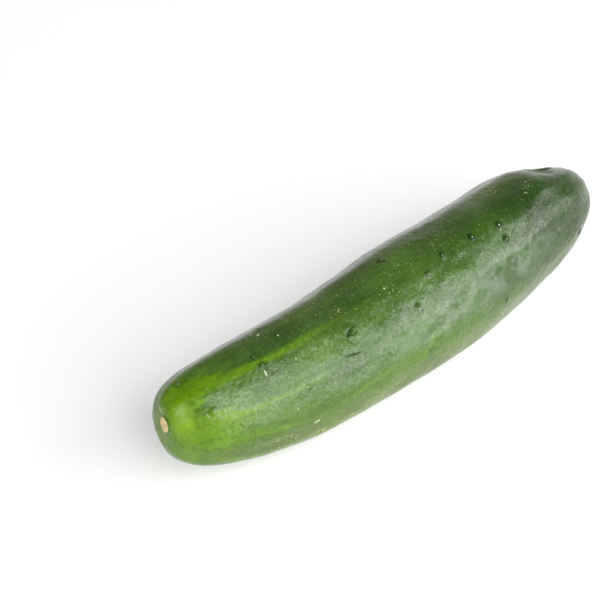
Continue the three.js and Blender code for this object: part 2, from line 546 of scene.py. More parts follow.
@dataclass(frozen=True)
class Stripes:
    """The lit side's stripes, the rule for the other side's, and the grooves."""

    near: tuple[Stripe, ...] = (
        Stripe((
            (0, 98, 5, 0.8), (12, 101, 4.2, 1), (18, 103, 3.4, 1), (23, 106.5, 2.3, 1),
            (29, 107, 1.7, 1), (35, 107.3, 1.2, 1), (42, 108.3, 1.3, 1), (49, 107.7, 1.15, 0.9),
            (56, 106, 1.2, 0.7), (64, 104.5, 1.0, 0.25), (74, 105, 0.8, 0.1), (90, 107, 1.0, 0),
        )),
        Stripe((
            (0, 146, 4, 0.8), (14, 147, 2.4, 0.75), (24, 147, 1.5, 0.75), (32, 146, 0.9, 0.75),
            (45, 145, 0.7, 0.6), (60, 143, 0.5, 0.15), (80, 141, 0.5, 0),
        )),
        Stripe((
            (0, 168, 5, 1), (14, 168, 4, 0.9), (25, 172, 2.0, 0.55), (36, 177, 1.2, 0.45),
            (48, 182, 0.9, 0.35), (60, 178, 0.9, 0.35), (72, 172, 0.9, 0.3), (85, 169, 1.0, 0.15),
            (95, 165, 1.2, 0),
        )),
        Stripe(((90, 184, 1.2, 0), (94, 180, 1.8, 0.4), (99, 168, 2.4, 0.4), (105, 160, 1.4, 0))),
    )
    # The grooves are dents whose dark colour is painted shade; the third is the painted shade on
    # the dark side of the wart at 71 mm.
    grooves: tuple[Stripe, ...] = (
        Stripe(((63, 136, 0.5, 0), (66, 138.5, 0.5, 0.9), (69, 140, 0.5, 0.9), (72, 141, 0.5, 0))),
        Stripe((
            (178, 176, 0.5, 0), (184, 174, 0.5, 0.35), (196, 174, 0.5, 0.35), (200, 175, 0.5, 0),
        )),
        Stripe((
            (68.2, 124.5, 0.9, 0), (68.6, 123, 0.9, 0.9), (69.2, 121.2, 0.9, 1),
            (70.7, 119.6, 0.95, 1), (72.3, 118.2, 0.8, 0.8), (73.6, 116.6, 0.6, 0.2),
            (74.6, 115.2, 0.4, 0),
        )),
    )
    first: float = 208.0
    step: float = 36.0
    count: int = 7
    sway: float = 6.0
    lean: float = 5.0
    reach: tuple[float, float] = (45.0, 95.0)
    faintest: float = 0.5
    fading: float = 0.45
    seed: int = 4177

    def all(self) -> list[Stripe]:
        """Gather the stripes, with the other side's drawn by the rule.

        Returns:
            Every stripe.
        """
        dice = dice_from(self.seed)
        drawn = []
        for order in range(self.count):
            angle = self.first + self.step * order + self.sway * (2 * dice() - 1)
            end = self.reach[0] + (self.reach[1] - self.reach[0]) * dice()
            lean = self.lean * (2 * dice() - 1)
            shown = self.faintest + self.fading * dice()
            drawn.append(Stripe((
                (0, angle, 5, 1), (10, angle, 4, 1), (18, angle + lean, 2.2, 0.9),
                (28, angle + lean, 1.1, shown), (end, angle + 2 * lean, 0.9, 0.7 * shown),
                (end + 25, angle + 2 * lean, 1.1, 0),
            )))
        return list(self.near) + drawn


@dataclass(frozen=True)
class Window:
    """A range that is entered over one stretch and left over another."""

    rise: tuple[float, float]
    fall: tuple[float, float]

    def share(self, value: np.ndarray) -> np.ndarray:
        """Return 1 within the window and 0 outside it."""
        return smoothstep(value, *self.rise) * (1 - smoothstep(value, *self.fall))


@dataclass(frozen=True)
class Band:
    """A soft band along the fruit: its middle and half width in degrees, and its strength.

    It comes in over one stretch of the spine and goes out over another, in millimetres. Where a
    stretch isn't given, the band runs on to the tip.
    """

    angle: float
    width: float
    strength: float
    rise: tuple[float, float] | None = None
    fall: tuple[float, float] | None = None

    def share(self, along: np.ndarray, degrees: np.ndarray) -> np.ndarray:
        """Return the band's strength at places on the skin.

        Args:
            along: Each place's distance along the spine.
            degrees: Each place's angle round it.

        Returns:
            A number for each place.
        """
        shown = self.strength * bell(turned_by(degrees, self.angle), self.width)
        if self.rise:
            shown = shown * smoothstep(along, *self.rise)
        if self.fall:
            shown = shown * (1 - smoothstep(along, *self.fall))
        return shown


@dataclass(frozen=True)
class Patch:
    """A soft oval patch: its middle, half length (mm), half width (degrees) and strength."""

    along: float
    angle: float
    length: float
    width: float
    strength: float

    def share(self, along: np.ndarray, degrees: np.ndarray) -> np.ndarray:
        """Return the patch's strength at places on the skin."""
        across = bell(turned_by(degrees, self.angle), self.width)
        return self.strength * bell(along - self.along, self.length) * across


@dataclass(frozen=True)
class Colouring:
    """Where the skin's colours and its wax lie, with painted sheen and painted reflection among
    them, by the place along the fruit and round it.

    yellow_reach says how far the yellow-green of the blossom end reaches: degrees and millimetres.
    greens says how light and how warm the green is: degrees, lightness and warmth.
    """

    stripes: Stripes = Stripes()
    tongue_fade: float = 10.0
    yellow_reach: tuple[tuple[float, float], ...] = (
        (0, 12), (25, 17), (50, 11), (64, 8), (76, 10), (84, 13), (92, 18), (101, 22), (108, 15),
        (118, 13), (132, 14), (142, 24), (152, 26), (162, 24), (173, 24), (184, 14), (196, 12),
        (212, 18), (236, 12), (258, 20), (280, 12), (305, 18), (330, 12), (345, 18),
    )
    greens: tuple[tuple[float, float, float], ...] = (
        (0, 1.08, 0.4), (28, 0.98, 0.2), (60, 1.21, 0.5), (78, 1.14, 0.2), (92, 0.99, 0.0),
        (101, 0.86, 0.0), (110, 0.88, 0.0), (120, 0.98, 0.0), (130, 0.98, 0.0), (140, 0.88, 0.0),
        (152, 0.84, 0.0), (162, 0.88, 0.1), (172, 0.97, 0.3), (182, 1.06, 0.5), (194, 1.14, 0.8),
        (212, 1.12, 0.8), (236, 1.00, 0.5), (262, 1.08, 0.7), (290, 0.96, 0.4), (325, 1.06, 0.6),
    )
    pale: tuple[Patch, ...] = (
        Patch(70, 128, 15, 10, 0.20), Patch(45, 124, 8, 8, -0.14), Patch(145, 184, 15, 12, 0.22),
        Patch(120, 160, 9, 8, 0.17), Patch(26, 113, 7, 7, 0.2),
    )
    wiped: tuple[Patch, ...] = (Patch(141, 109, 10, 9, 0.55), Patch(172, 110, 7, 6, 0.5))
    darkening: tuple[float, float] = (80.0, 185.0)
    # Less of the stem's darkening. On the upper rim it is painted reflection: darker from 100 to
    # 150 mm, lighter towards the stem.
    kept_green_and_rim_reflection: tuple[Band | Patch, ...] = (
        Band(70, 24, 0.5, rise=(125, 175)), Patch(152, 100, 15, 22, 0.25),
        Patch(128, 70, 24, 12, -0.4),
    )
    # A warmer tint; on the upper rim near the stem it is painted sheen, the brownish gloss along
    # that edge.
    warm_tint_and_rim_sheen: tuple[Band | Patch, ...] = (
        Band(64, 12, 0.8, rise=(140, 180)), Patch(20, 147, 7, 7, 0.32),
    )
    # A pale bloom: partly the wax, partly painted sheen along the lower side, where the lamps' haze
    # lies.
    wax_and_sheen_bands: tuple[Band, ...] = (
        Band(155, 15, 1.0, rise=(50, 118), fall=(150, 182)),
        Band(84, 16, 0.22, rise=(16, 32), fall=(75, 115)),
    )
    bright_tip: Band = Band(98, 33, 0.8)
    dullest_tip: float = 0.15
    halo: tuple[Band, ...] = (Band(130, 27, 0.72), Band(84, 14, 0.35), Band(200, 14, 0.3))
    halo_at_tip: float = 0.4
    halo_turns: tuple[float, float] = (0.0, 1.5)
    halo_rise: tuple[float, float] = (1.0, 3.5)
    halo_fall: tuple[float, float] = (6.0, 9.5)
    fleck_least: float = 0.15
    fleck_more: float = 0.55
    fleck_side: Window = Window((50, 75), (118, 140))
    fleck_stretch: Window = Window((25, 50), (125, 160))

    def facts(
        self, along: np.ndarray, angle: np.ndarray, radius: np.ndarray
    ) -> dict[str, np.ndarray]:
        """Work out what the finishes read at each place on the skin.

        Args:
            along: Each place's distance along the spine.
            angle: Each place's angle round it, in radians.
            radius: Each place's distance from it.

        Returns:
            The values of each attribute, by its name.
        """
        degrees = np.degrees(angle) % 360
        turns, lightness, warmth = np.array(self.greens).T

        def total(parts: tuple[Band | Patch, ...]) -> np.ndarray:
            """Return the parts' strengths added up."""
            return sum(part.share(along, degrees) for part in parts)

        def drawn(lines: Iterable[Stripe]) -> np.ndarray:
            """Return the lines' strengths added up, to 1 at most."""
            return np.minimum(np.sum([line.strength(along, angle, radius) for line in lines], 0), 1)

        return {
            "stripe": drawn(self.stripes.all()),
            "groove": drawn(self.stripes.grooves),
            "lightness": np.interp(degrees, turns, lightness, period=360) * (1 + total(self.pale)),
            "warmth": np.interp(degrees, turns, warmth, period=360),
            "darkening": smoothstep(along, *self.darkening) * (1 - total(self.kept_green_and_rim_reflection)),
            "warm_tint_and_rim_sheen": total(self.warm_tint_and_rim_sheen),
            "wax_and_sheen": total(self.wax_and_sheen_bands),
            "wiped": total(self.wiped),
            "yellowing": self.yellowing(along, degrees),
            "brightness": self.dullest_tip + self.bright_tip.share(along, degrees),
            "halo": self.blossom_ring(along, total(self.halo)),
            "flecks": self.flecked(along, degrees),
        }

    def yellowing(self, along: np.ndarray, degrees: np.ndarray) -> np.ndarray:
        """Return how far the skin has turned yellow-green: at the blossom end, in tongues."""
        reach = np.interp(degrees, *np.array(self.yellow_reach).T, period=360)
        return np.clip(0.5 + (reach - along) / self.tongue_fade, 0, 1)

    def blossom_ring(self, along: np.ndarray, lit: np.ndarray) -> np.ndarray:
        """Work out how bright the skin is in a ring round the blossom end.

        Args:
            along: Each place's distance along the spine.
            lit: How bright the ring is at each place's angle.

        Returns:
            A number from 0 to 1 for each place. It is even round the tip itself.
        """
        lit = self.halo_at_tip + (lit - self.halo_at_tip) * smoothstep(along, *self.halo_turns)
        rise = 0.5 + 0.5 * smoothstep(along, *self.halo_rise)
        return lit * rise * (1 - smoothstep(along, *self.halo_fall))

    def flecked(self, along: np.ndarray, degrees: np.ndarray) -> np.ndarray:
        """Return how thickly flecks stand: most on the upper side, past the blossom end."""
        upper, middle = self.fleck_side.share(degrees), self.fleck_stretch.share(along)
        return self.fleck_least + self.fleck_more * upper * middle


# ---- The skin's net ------------------------------------------------------------------------------


@dataclass(frozen=True)
class Net:
    """An even net over the fruit: square grids laid on its two ends, with rows between them."""

    cells: int = 54
    row_step: float = 0.7
    cap_reach: float = 17.5
    mark_margin: float = 0.7

    def cap_grid(self) -> tuple[np.ndarray, np.ndarray]:
        """Lay out one end's grid.

        Returns:
            Each point's share of the way out to the rim, and its angle.
        """
        line = np.linspace(-1, 1, self.cells + 1)
        u, v = (grid.ravel() for grid in np.meshgrid(line, line, indexing="ij"))
        sideways = np.abs(u) >= np.abs(v)
        across = np.where(sideways, u, v)
        ratio = np.where(sideways, v, u) / np.where(across == 0, 1, across)
        eighth = math.pi / 4
        on_side = np.where(u < 0, math.pi, 0) + eighth * ratio
        on_top = np.where(v > 0, math.pi / 2, 1.5 * math.pi) - eighth * ratio
        return np.maximum(np.abs(u), np.abs(v)), np.where(sideways, on_side, on_top) % TURN

    def build(self, form: Form) -> tuple[np.ndarray, np.ndarray, list[list[int]]]:
        """Lay the net out.

        Args:
            form: The fruit that it covers.

        Returns:
            Each point's reach along the half outline in millimetres, its angle, and the faces.
        """
        columns = 4 * self.cells
        total = form.outline()[1][-1]
        rows = round((total - 2 * self.cap_reach) / self.row_step)
        body = total - 2 * self.cap_reach
        out, cap_angle = self.cap_grid()
        size = len(out)
        reach = [out * self.cap_reach, total - out * self.cap_reach]
        angle = [cap_angle, cap_angle]
        rim = np.flatnonzero(out > 1 - 1e-9)
        rim = rim[np.argsort(np.round(cap_angle[rim] / TURN * columns) % columns)]
        turn = np.arange(columns) * TURN / columns
        for row in range(1, rows):
            reach.append(np.full(columns, self.cap_reach + body * row / rows))
            angle.append(turn)
        lines = [rim]
        lines += [2 * size + row * columns + np.arange(columns) for row in range(rows - 1)]
        lines.append(size + rim)
        side = self.cells + 1
        cell = np.arange(self.cells)
        corner = np.add.outer(cell * side, cell).ravel()
        quad = np.stack([corner, corner + side, corner + side + 1, corner + 1], -1)
        faces = quad.tolist() + (quad[:, ::-1] + size).tolist()
        for first, second in zip(lines, lines[1:]):
            ring = np.stack([first, np.roll(first, -1), np.roll(second, -1), second], -1)
            faces += ring.tolist()
        return np.concatenate(reach), np.concatenate(angle), faces


def refined(net: Net, form: Form) -> tuple[np.ndarray, np.ndarray, bpy.types.Mesh]:
    """Build the net as a mesh, with its edges halved round the small marks.

    Args:
        net: The net.
        form: The fruit that it covers.

    Returns:
        Each point's t and angle, and the triangulated mesh that joins them.
    """
    reach, angle, faces = net.build(form)
    t_samples, lengths = form.outline()
    t = np.interp(reach, lengths, t_samples)
    points = form.body(t, angle)
    mesh = bpy.data.meshes.new("cucumber_skin")
    mesh.from_pydata(points, [], faces)
    for name, values in (("reach", reach), ("cosine", np.cos(angle)), ("sine", np.sin(angle))):
        keep(mesh, name, values)
    close = np.zeros(len(points), bool)
    for mark in [*form.warts(), form.scar, form.pit]:
        gap = np.linalg.norm(points - form.place(mark), axis=-1) - mark.radius
        close |= gap < net.mark_margin
    work = bmesh.new()
    work.from_mesh(mesh)
    work.verts.ensure_lookup_table()
    edges = [edge for edge in work.edges if all(close[vert.index] for vert in edge.verts)]
    bmesh.ops.subdivide_edges(
        work, edges=edges, cuts=1, use_grid_fill=True, use_single_edge=True
    )
    bmesh.ops.triangulate(work, faces=work.faces)
    bmesh.ops.recalc_face_normals(work, faces=work.faces)
    work.to_mesh(mesh)
    work.free()
    t = np.interp(kept(mesh, "reach"), lengths, t_samples)
    angle = np.arctan2(kept(mesh, "sine"), kept(mesh, "cosine"))
    for name in ("reach", "cosine", "sine"):
        mesh.attributes.remove(mesh.attributes[name])
    return t, angle, mesh


def keep(mesh: bpy.types.Mesh, name: str, values: np.ndarray) -> None:
    """Write an attribute of a mesh's points.

    Args:
        mesh: The mesh.
        name: The attribute's name.
        values: A number or a vector for each point.
    """
    kind, key = ("FLOAT_VECTOR", "vector") if np.ndim(values) == 2 else ("FLOAT", "value")
    attribute = mesh.attributes.get(name) or mesh.attributes.new(name, kind, "POINT")
    attribute.data.foreach_set(key, np.asarray(values, np.float32).ravel())


def kept(mesh: bpy.types.Mesh, name: str) -> np.ndarray:
    """Read numbers that keep() wrote.

    Args:
        mesh: The mesh.
        name: The attribute's name.

    Returns:
        A number for each point.
    """
    values = np.empty(len(mesh.vertices), np.float32)
    mesh.attributes[name].data.foreach_get("value", values)
    return values.astype(float)


# ---- Node trees ----------------------------------------------------------------------------------


FLOAT = "NodeSocketFloat"
INTEGER = "NodeSocketInt"
VECTOR = "NodeSocketVector"
GEOMETRY = "NodeSocketGeometry"
MATERIAL = "NodeSocketMaterial"
NOISE_RANGE = (0.3, 0.7)


@dataclass(frozen=True)
class Colour:
    """A colour as linear red, green and blue."""

    red: float
    green: float
    blue: float

    def rgba(self) -> tuple[float, float, float, float]:
        """Return it with full opacity."""
        return (self.red, self.green, self.blue, 1.0)


@dataclass(frozen=True)
class Value:
    """What a node puts out. Arithmetic with it adds Math nodes to its tree."""

    graph: "Graph"
    socket: bpy.types.NodeSocket

    def __add__(self, other: "Value | float") -> "Value":
        """Add to it."""
        return self.graph.math("ADD", self, other)

    def __sub__(self, other: "Value | float") -> "Value":
        """Take away from it."""
        return self.graph.math("SUBTRACT", self, other)

    def __rsub__(self, other: float) -> "Value":
        """Take it away from a number."""
        return self.graph.math("SUBTRACT", other, self)

    def __mul__(self, other: "Value | float") -> "Value":
        """Multiply it."""
        return self.graph.math("MULTIPLY", self, other)

    def __rtruediv__(self, other: float) -> "Value":
        """Divide a number by it."""
        return self.graph.math("DIVIDE", other, self)

    def clamped(self) -> "Value":
        """Return it kept within 0 and 1."""
        self.socket.node.use_clamp = True
        return self

    def remap(self, low: Any, high: Any, to_low: float = 0.0, to_high: float = 1.0) -> "Value":
        """Take it smoothly from one range to another.

        Args:
            low: Where the first range starts.
            high: Where it ends.
            to_low: What the start becomes.
            to_high: What the end becomes.

        Returns:
            The new value, which stays between to_low and to_high.
        """
        ends = {"From Min": low, "From Max": high, "To Min": to_low, "To Max": to_high}
        values = {"Value": self, **ends}
        return self.graph.out("ShaderNodeMapRange", values, interpolation_type="SMOOTHSTEP")

    def spread(self, to_low: float, to_high: float) -> "Value":
        """Take a noise from the range that it mostly keeps to, to another."""
        return self.remap(*NOISE_RANGE, to_low, to_high)

    def mixed(self, share: Any, other: "Value | Colour") -> "Value":
        """Mix this colour with a share of another."""
        return self.graph.mix(share, self, other)

    def tinted(self, share: Any, tint: Colour) -> "Value":
        """Mix this colour with a share of itself multiplied by a tint."""
        return self.graph.mix(share, self, self.graph.mix(1.0, self, tint, "MULTIPLY"))


class Graph:
    """A node tree being written: it adds nodes, sets their values and links them."""

    def __init__(self, tree: bpy.types.NodeTree) -> None:
        """Start with an empty tree."""
        self.tree = tree
        tree.nodes.clear()

    def add(
        self, kind: str, inputs: dict[str | int, Any] | None = None, **settings: Any
    ) -> bpy.types.Node:
        """Add a node.

        Args:
            kind: The node's type.
            inputs: A value, or what another node puts out, for each input's name or index.
            settings: The node's own properties.

        Returns:
            The node.
        """
        node = self.tree.nodes.new(kind)
        for name, value in settings.items():
            setattr(node, name, value)
        for key, value in (inputs or {}).items():
            self.feed(node.inputs[key], value)
        return node

    def out(
        self, kind: str, inputs: dict[str | int, Any] | None = None, output: str | int = 0,
        **settings: Any,
    ) -> Value:
        """Add a node, and return one of its outputs, by its name or index."""
        return Value(self, self.add(kind, inputs, **settings).outputs[output])

    def outs(self, kind: str, inputs: dict[str | int, Any], **settings: Any) -> dict[str, Value]:
        """Add a node, and return all of its outputs by name."""
        return {s.name: Value(self, s) for s in self.add(kind, inputs, **settings).outputs}

    def feed(self, socket: bpy.types.NodeSocket, value: Any) -> None:
        """Link a socket, or set its value.

        Args:
            socket: The input.
            value: What another node puts out, or a plain value.
        """
        if isinstance(value, Value):
            self.tree.links.new(value.socket, socket)
        else:
            socket.default_value = value.rgba() if isinstance(value, Colour) else value

    def math(self, operation: str, first: Any, second: Any = 0.0) -> Value:
        """Return the result of a Math node."""
        return self.out("ShaderNodeMath", {0: first, 1: second}, operation=operation)

    def vector(self, operation: str, first: Any, second: Any) -> Value:
        """Return the result of a Vector Math node. To scale, the second is a number."""
        key = "Scale" if operation == "SCALE" else 1
        return self.out("ShaderNodeVectorMath", {0: first, key: second}, operation=operation)

    def mix(self, share: Any, first: Any, second: Any, blend: str = "MIX") -> Value:
        """Mix two colours.

        Args:
            share: How much of the second there is, from 0 to 1.
            first: A colour.
            second: Another.
            blend: The way they are mixed.

        Returns:
            The mixed colour.
        """
        node = self.add("ShaderNodeMix", data_type="RGBA", blend_type=blend, clamp_result=False)
        sockets = {socket.identifier: socket for socket in [*node.inputs, *node.outputs]}
        for name, value in (("Factor_Float", share), ("A_Color", first), ("B_Color", second)):
            self.feed(sockets[name], value)
        return Value(self, sockets["Result_Color"])

    def noise(self, place: Any, scale: Any, detail: float, output: str | int = 0) -> Value:
        """Return a noise, with so many features to a unit of place."""
        inputs = {"Vector": place, "Scale": scale, "Detail": detail}
        return self.out("ShaderNodeTexNoise", inputs, output)

    def stretched(self, place: Any, scale: tuple[float, float, float]) -> Value:
        """Return places scaled along their own axes."""
        return self.out("ShaderNodeMapping", {"Vector": place, "Scale": scale})

    def end(self, output: str, shader: str, inputs: dict[str, Any]) -> None:
        """End a material's or a world's tree with a shader."""
        self.add(output, {"Surface": self.out(shader, inputs)})


class GroupGraph(Graph):
    """A node group with named sockets."""

    def __init__(
        self, name: str, kind: str, inputs: dict[str, tuple[str, Any]], outputs: dict[str, str]
    ) -> None:
        """Make the group.

        Args:
            name: The group's name.
            kind: The tree's type.
            inputs: Each input's socket type and default value, or None for no default.
            outputs: Each output's socket type.
        """
        super().__init__(bpy.data.node_groups.new(name, kind))
        sockets = self.tree.interface
        for label, (socket_type, default) in inputs.items():
            socket = sockets.new_socket(name=label, in_out="INPUT", socket_type=socket_type)
            if default is not None:
                socket.default_value = default
        for label, socket_type in outputs.items():
            sockets.new_socket(name=label, in_out="OUTPUT", socket_type=socket_type)
        self.source = self.add("NodeGroupInput")
        self.result = self.add("NodeGroupOutput")

    def given(self, name: str) -> Value:
        """Return what one of the group's inputs is given."""
        return Value(self, self.source.outputs[name])

    def give(self, **results: Value) -> bpy.types.NodeTree:
        """Link the outputs.

        Args:
            results: What each output puts out.

        Returns:
            The finished group.
        """
        for name, value in results.items():
            self.feed(self.result.inputs[name], value)
        return self.tree


class GeometryGraph(GroupGraph):
    """A geometry tree that takes a mesh and a material, and gives a dressed mesh."""

    def __init__(self, name: str, inputs: dict[str, tuple[str, Any]]) -> None:
        """Make the tree, with its own named inputs between the mesh and the material."""
        inputs = {"Geometry": (GEOMETRY, None), **inputs, "Material": (MATERIAL, None)}
        super().__init__(name, "GeometryNodeTree", inputs, {"Geometry": GEOMETRY})

    def named(self, name: str, kind: str = "FLOAT_VECTOR") -> Value:
        """Return an attribute of the points."""
        return self.out("GeometryNodeInputNamedAttribute", {"Name": name}, data_type=kind)

    def whole(self, geometry: Any) -> Value:
        """Return a geometry with its instances made real."""
        return self.out("GeometryNodeRealizeInstances", {"Geometry": geometry})

    def moved(self, geometry: Any, direction: Any, size: Any) -> Value:
        """Return a geometry with its points moved along a direction."""
        offset = self.vector("SCALE", direction, size)
        return self.out("GeometryNodeSetPosition", {"Geometry": geometry, "Offset": offset})

    def on_points(self, points: Any, instance: Any, rotation: Any, scale: Any) -> Value:
        """Return a copy of the instance on each point, turned and scaled."""
        inputs = {"Points": points, "Instance": instance, "Rotation": rotation, "Scale": scale}
        return self.out("GeometryNodeInstanceOnPoints", inputs)

    def finish(self, geometry: Any, smooth: bool = True) -> bpy.types.NodeTree:
        """End the tree: make its instances real, shade them and set the material.

        Args:
            geometry: What the tree has made.
            smooth: Whether it is shaded smooth.

        Returns:
            The finished tree.
        """
        whole = self.whole(geometry)
        if smooth:
            whole = self.out("GeometryNodeSetShadeSmooth", {"Geometry": whole})
        inputs = {"Geometry": whole, "Material": self.given("Material")}
        return self.give(Geometry=self.out("GeometryNodeSetMaterial", inputs))


def linked(name: str, data: bpy.types.ID) -> bpy.types.Object:
    """Put data in the scene as an object at the origin.

    Args:
        name: The object's name.
        data: Its mesh, light or camera.

    Returns:
        The object.
    """
    thing = bpy.data.objects.new(name, data)
    bpy.context.scene.collection.objects.link(thing)
    return thing


def realised(
    name: str, source: bpy.types.Mesh, tree: bpy.types.NodeTree, values: dict[str, Any]
) -> bpy.types.Object:
    """Run a geometry tree on a mesh and keep its result as a plain mesh.

    Args:
        name: The new piece's name.
        source: The mesh that the tree starts from.
        tree: The geometry tree.
        values: A value for each of the tree's named inputs.

    Returns:
        The piece, at the origin, with no modifier left on it.
    """
    piece = linked(name, source)
    modifier = piece.modifiers.new("growth", "NODES")
    modifier.node_group = tree
    inputs = [item for item in tree.interface.items_tree if item.in_out == "INPUT"]
    sockets = {item.name: item.identifier for item in inputs}
    for label, value in values.items():
        modifier[sockets[label]] = value
    graph = bpy.context.evaluated_depsgraph_get()
    result = bpy.data.meshes.new_from_object(piece.evaluated_get(graph))
    piece.modifiers.clear()
    piece.data = result
    result.name = name
    return piece


def new_material(name: str) -> tuple[bpy.types.Material, Graph]:
    """Make a material.

    Args:
        name: Its name.

    Returns:
        The material and its empty node tree.
    """
    material = bpy.data.materials.new(name)
    material.use_nodes = True
    return material, Graph(material.node_tree)


# ---- Shared effects ------------------------------------------------------------------------------


def leather_group() -> bpy.types.NodeTree:
    """Make the fine leathery grain that every dry or waxy surface of the fruit has.

    Returns:
        The group, which puts out a height and a mottle.
    """
    g = GroupGraph(
        "fine_leather", "ShaderNodeTree",
        {"Place": (VECTOR, None), "Cell Size": (FLOAT, 1.1), "Crease": (FLOAT, 0.5)},
        {"Height": FLOAT, "Mottle": FLOAT},
    )
    place, scale = g.given("Place"), 1.0 / g.given("Cell Size")
    wander = g.vector("SCALE", g.noise(place, scale, 2.0, "Color"), 0.9)
    cells = g.out(
        "ShaderNodeTexVoronoi",
        {"Vector": g.vector("ADD", place, wander), "Scale": scale, "Smoothness": 0.6},
        "Distance", feature="SMOOTH_F1",
    )
    folds = g.noise(place, scale, 4.0)
    return g.give(Height=folds - cells * g.given("Crease"), Mottle=folds)


def specks_group() -> bpy.types.NodeTree:
    """Make small scattered specks, each a little different, with most left out.

    Returns:
        The group, which puts out a mask.
    """
    g = GroupGraph(
        "scattered_specks", "ShaderNodeTree",
        {
            "Place": (VECTOR, None), "Spacing": (FLOAT, 1.8), "Size": (FLOAT, 0.14),
            "Share": (FLOAT, 0.5),
        },
        {"Mask": FLOAT},
    )
    least, core = 0.4, 0.4
    cells = {"Vector": g.given("Place"), "Scale": 1.0 / g.given("Spacing")}
    dots = g.outs("ShaderNodeTexVoronoi", cells)
    chance = g.outs("ShaderNodeSeparateColor", {0: dots["Color"]})
    size = g.given("Size") * (chance["Green"] + least)
    spot = dots["Distance"].remap(size, size * core)
    return g.give(Mask=spot * g.math("LESS_THAN", chance["Red"], g.given("Share")))


def creases_group() -> bpy.types.NodeTree:
    """Make short thin creases: the lines where a noise crosses its middle, broken by another.

    Returns:
        The group, which puts out a mask.
    """
    g = GroupGraph(
        "short_creases", "ShaderNodeTree",
        {"Place": (VECTOR, None), "Size": (FLOAT, 5.0), "Width": (FLOAT, 0.03)},
        {"Crease": FLOAT},
    )
    place, scale = g.given("Place"), 1.0 / g.given("Size")
    line = g.math("ABSOLUTE", g.noise(place, scale, 3.0) - 0.5).remap(g.given("Width"), 0.0)
    breaks = g.noise(place, scale * 0.7, 1.0)
    return g.give(Crease=line * breaks.remap(0.52, 0.62))


# ---- Finishes ------------------------------------------------------------------------------------


SKIN_FACTS = (
    "along", "wart_reach", "wart_shade", "scar_reach", "pit_reach", "stripe", "groove", "lightness",
    "warmth", "darkening", "warm_tint_and_rim_sheen", "wax_and_sheen", "wiped", "yellowing", "brightness", "halo", "flecks",
)


@dataclass(frozen=True)
class Cloud:
    """A noise on the skin: size millimetres large round the fruit, and size / pace along it."""

    size: float
    pace: float
    detail: float

    def laid(self, g: Graph, place: Value) -> Value:
        """Return the noise at places on the straightened skin."""
        return g.noise(g.stretched(place, (self.pace, 1, 1)), 1 / self.size, self.detail)


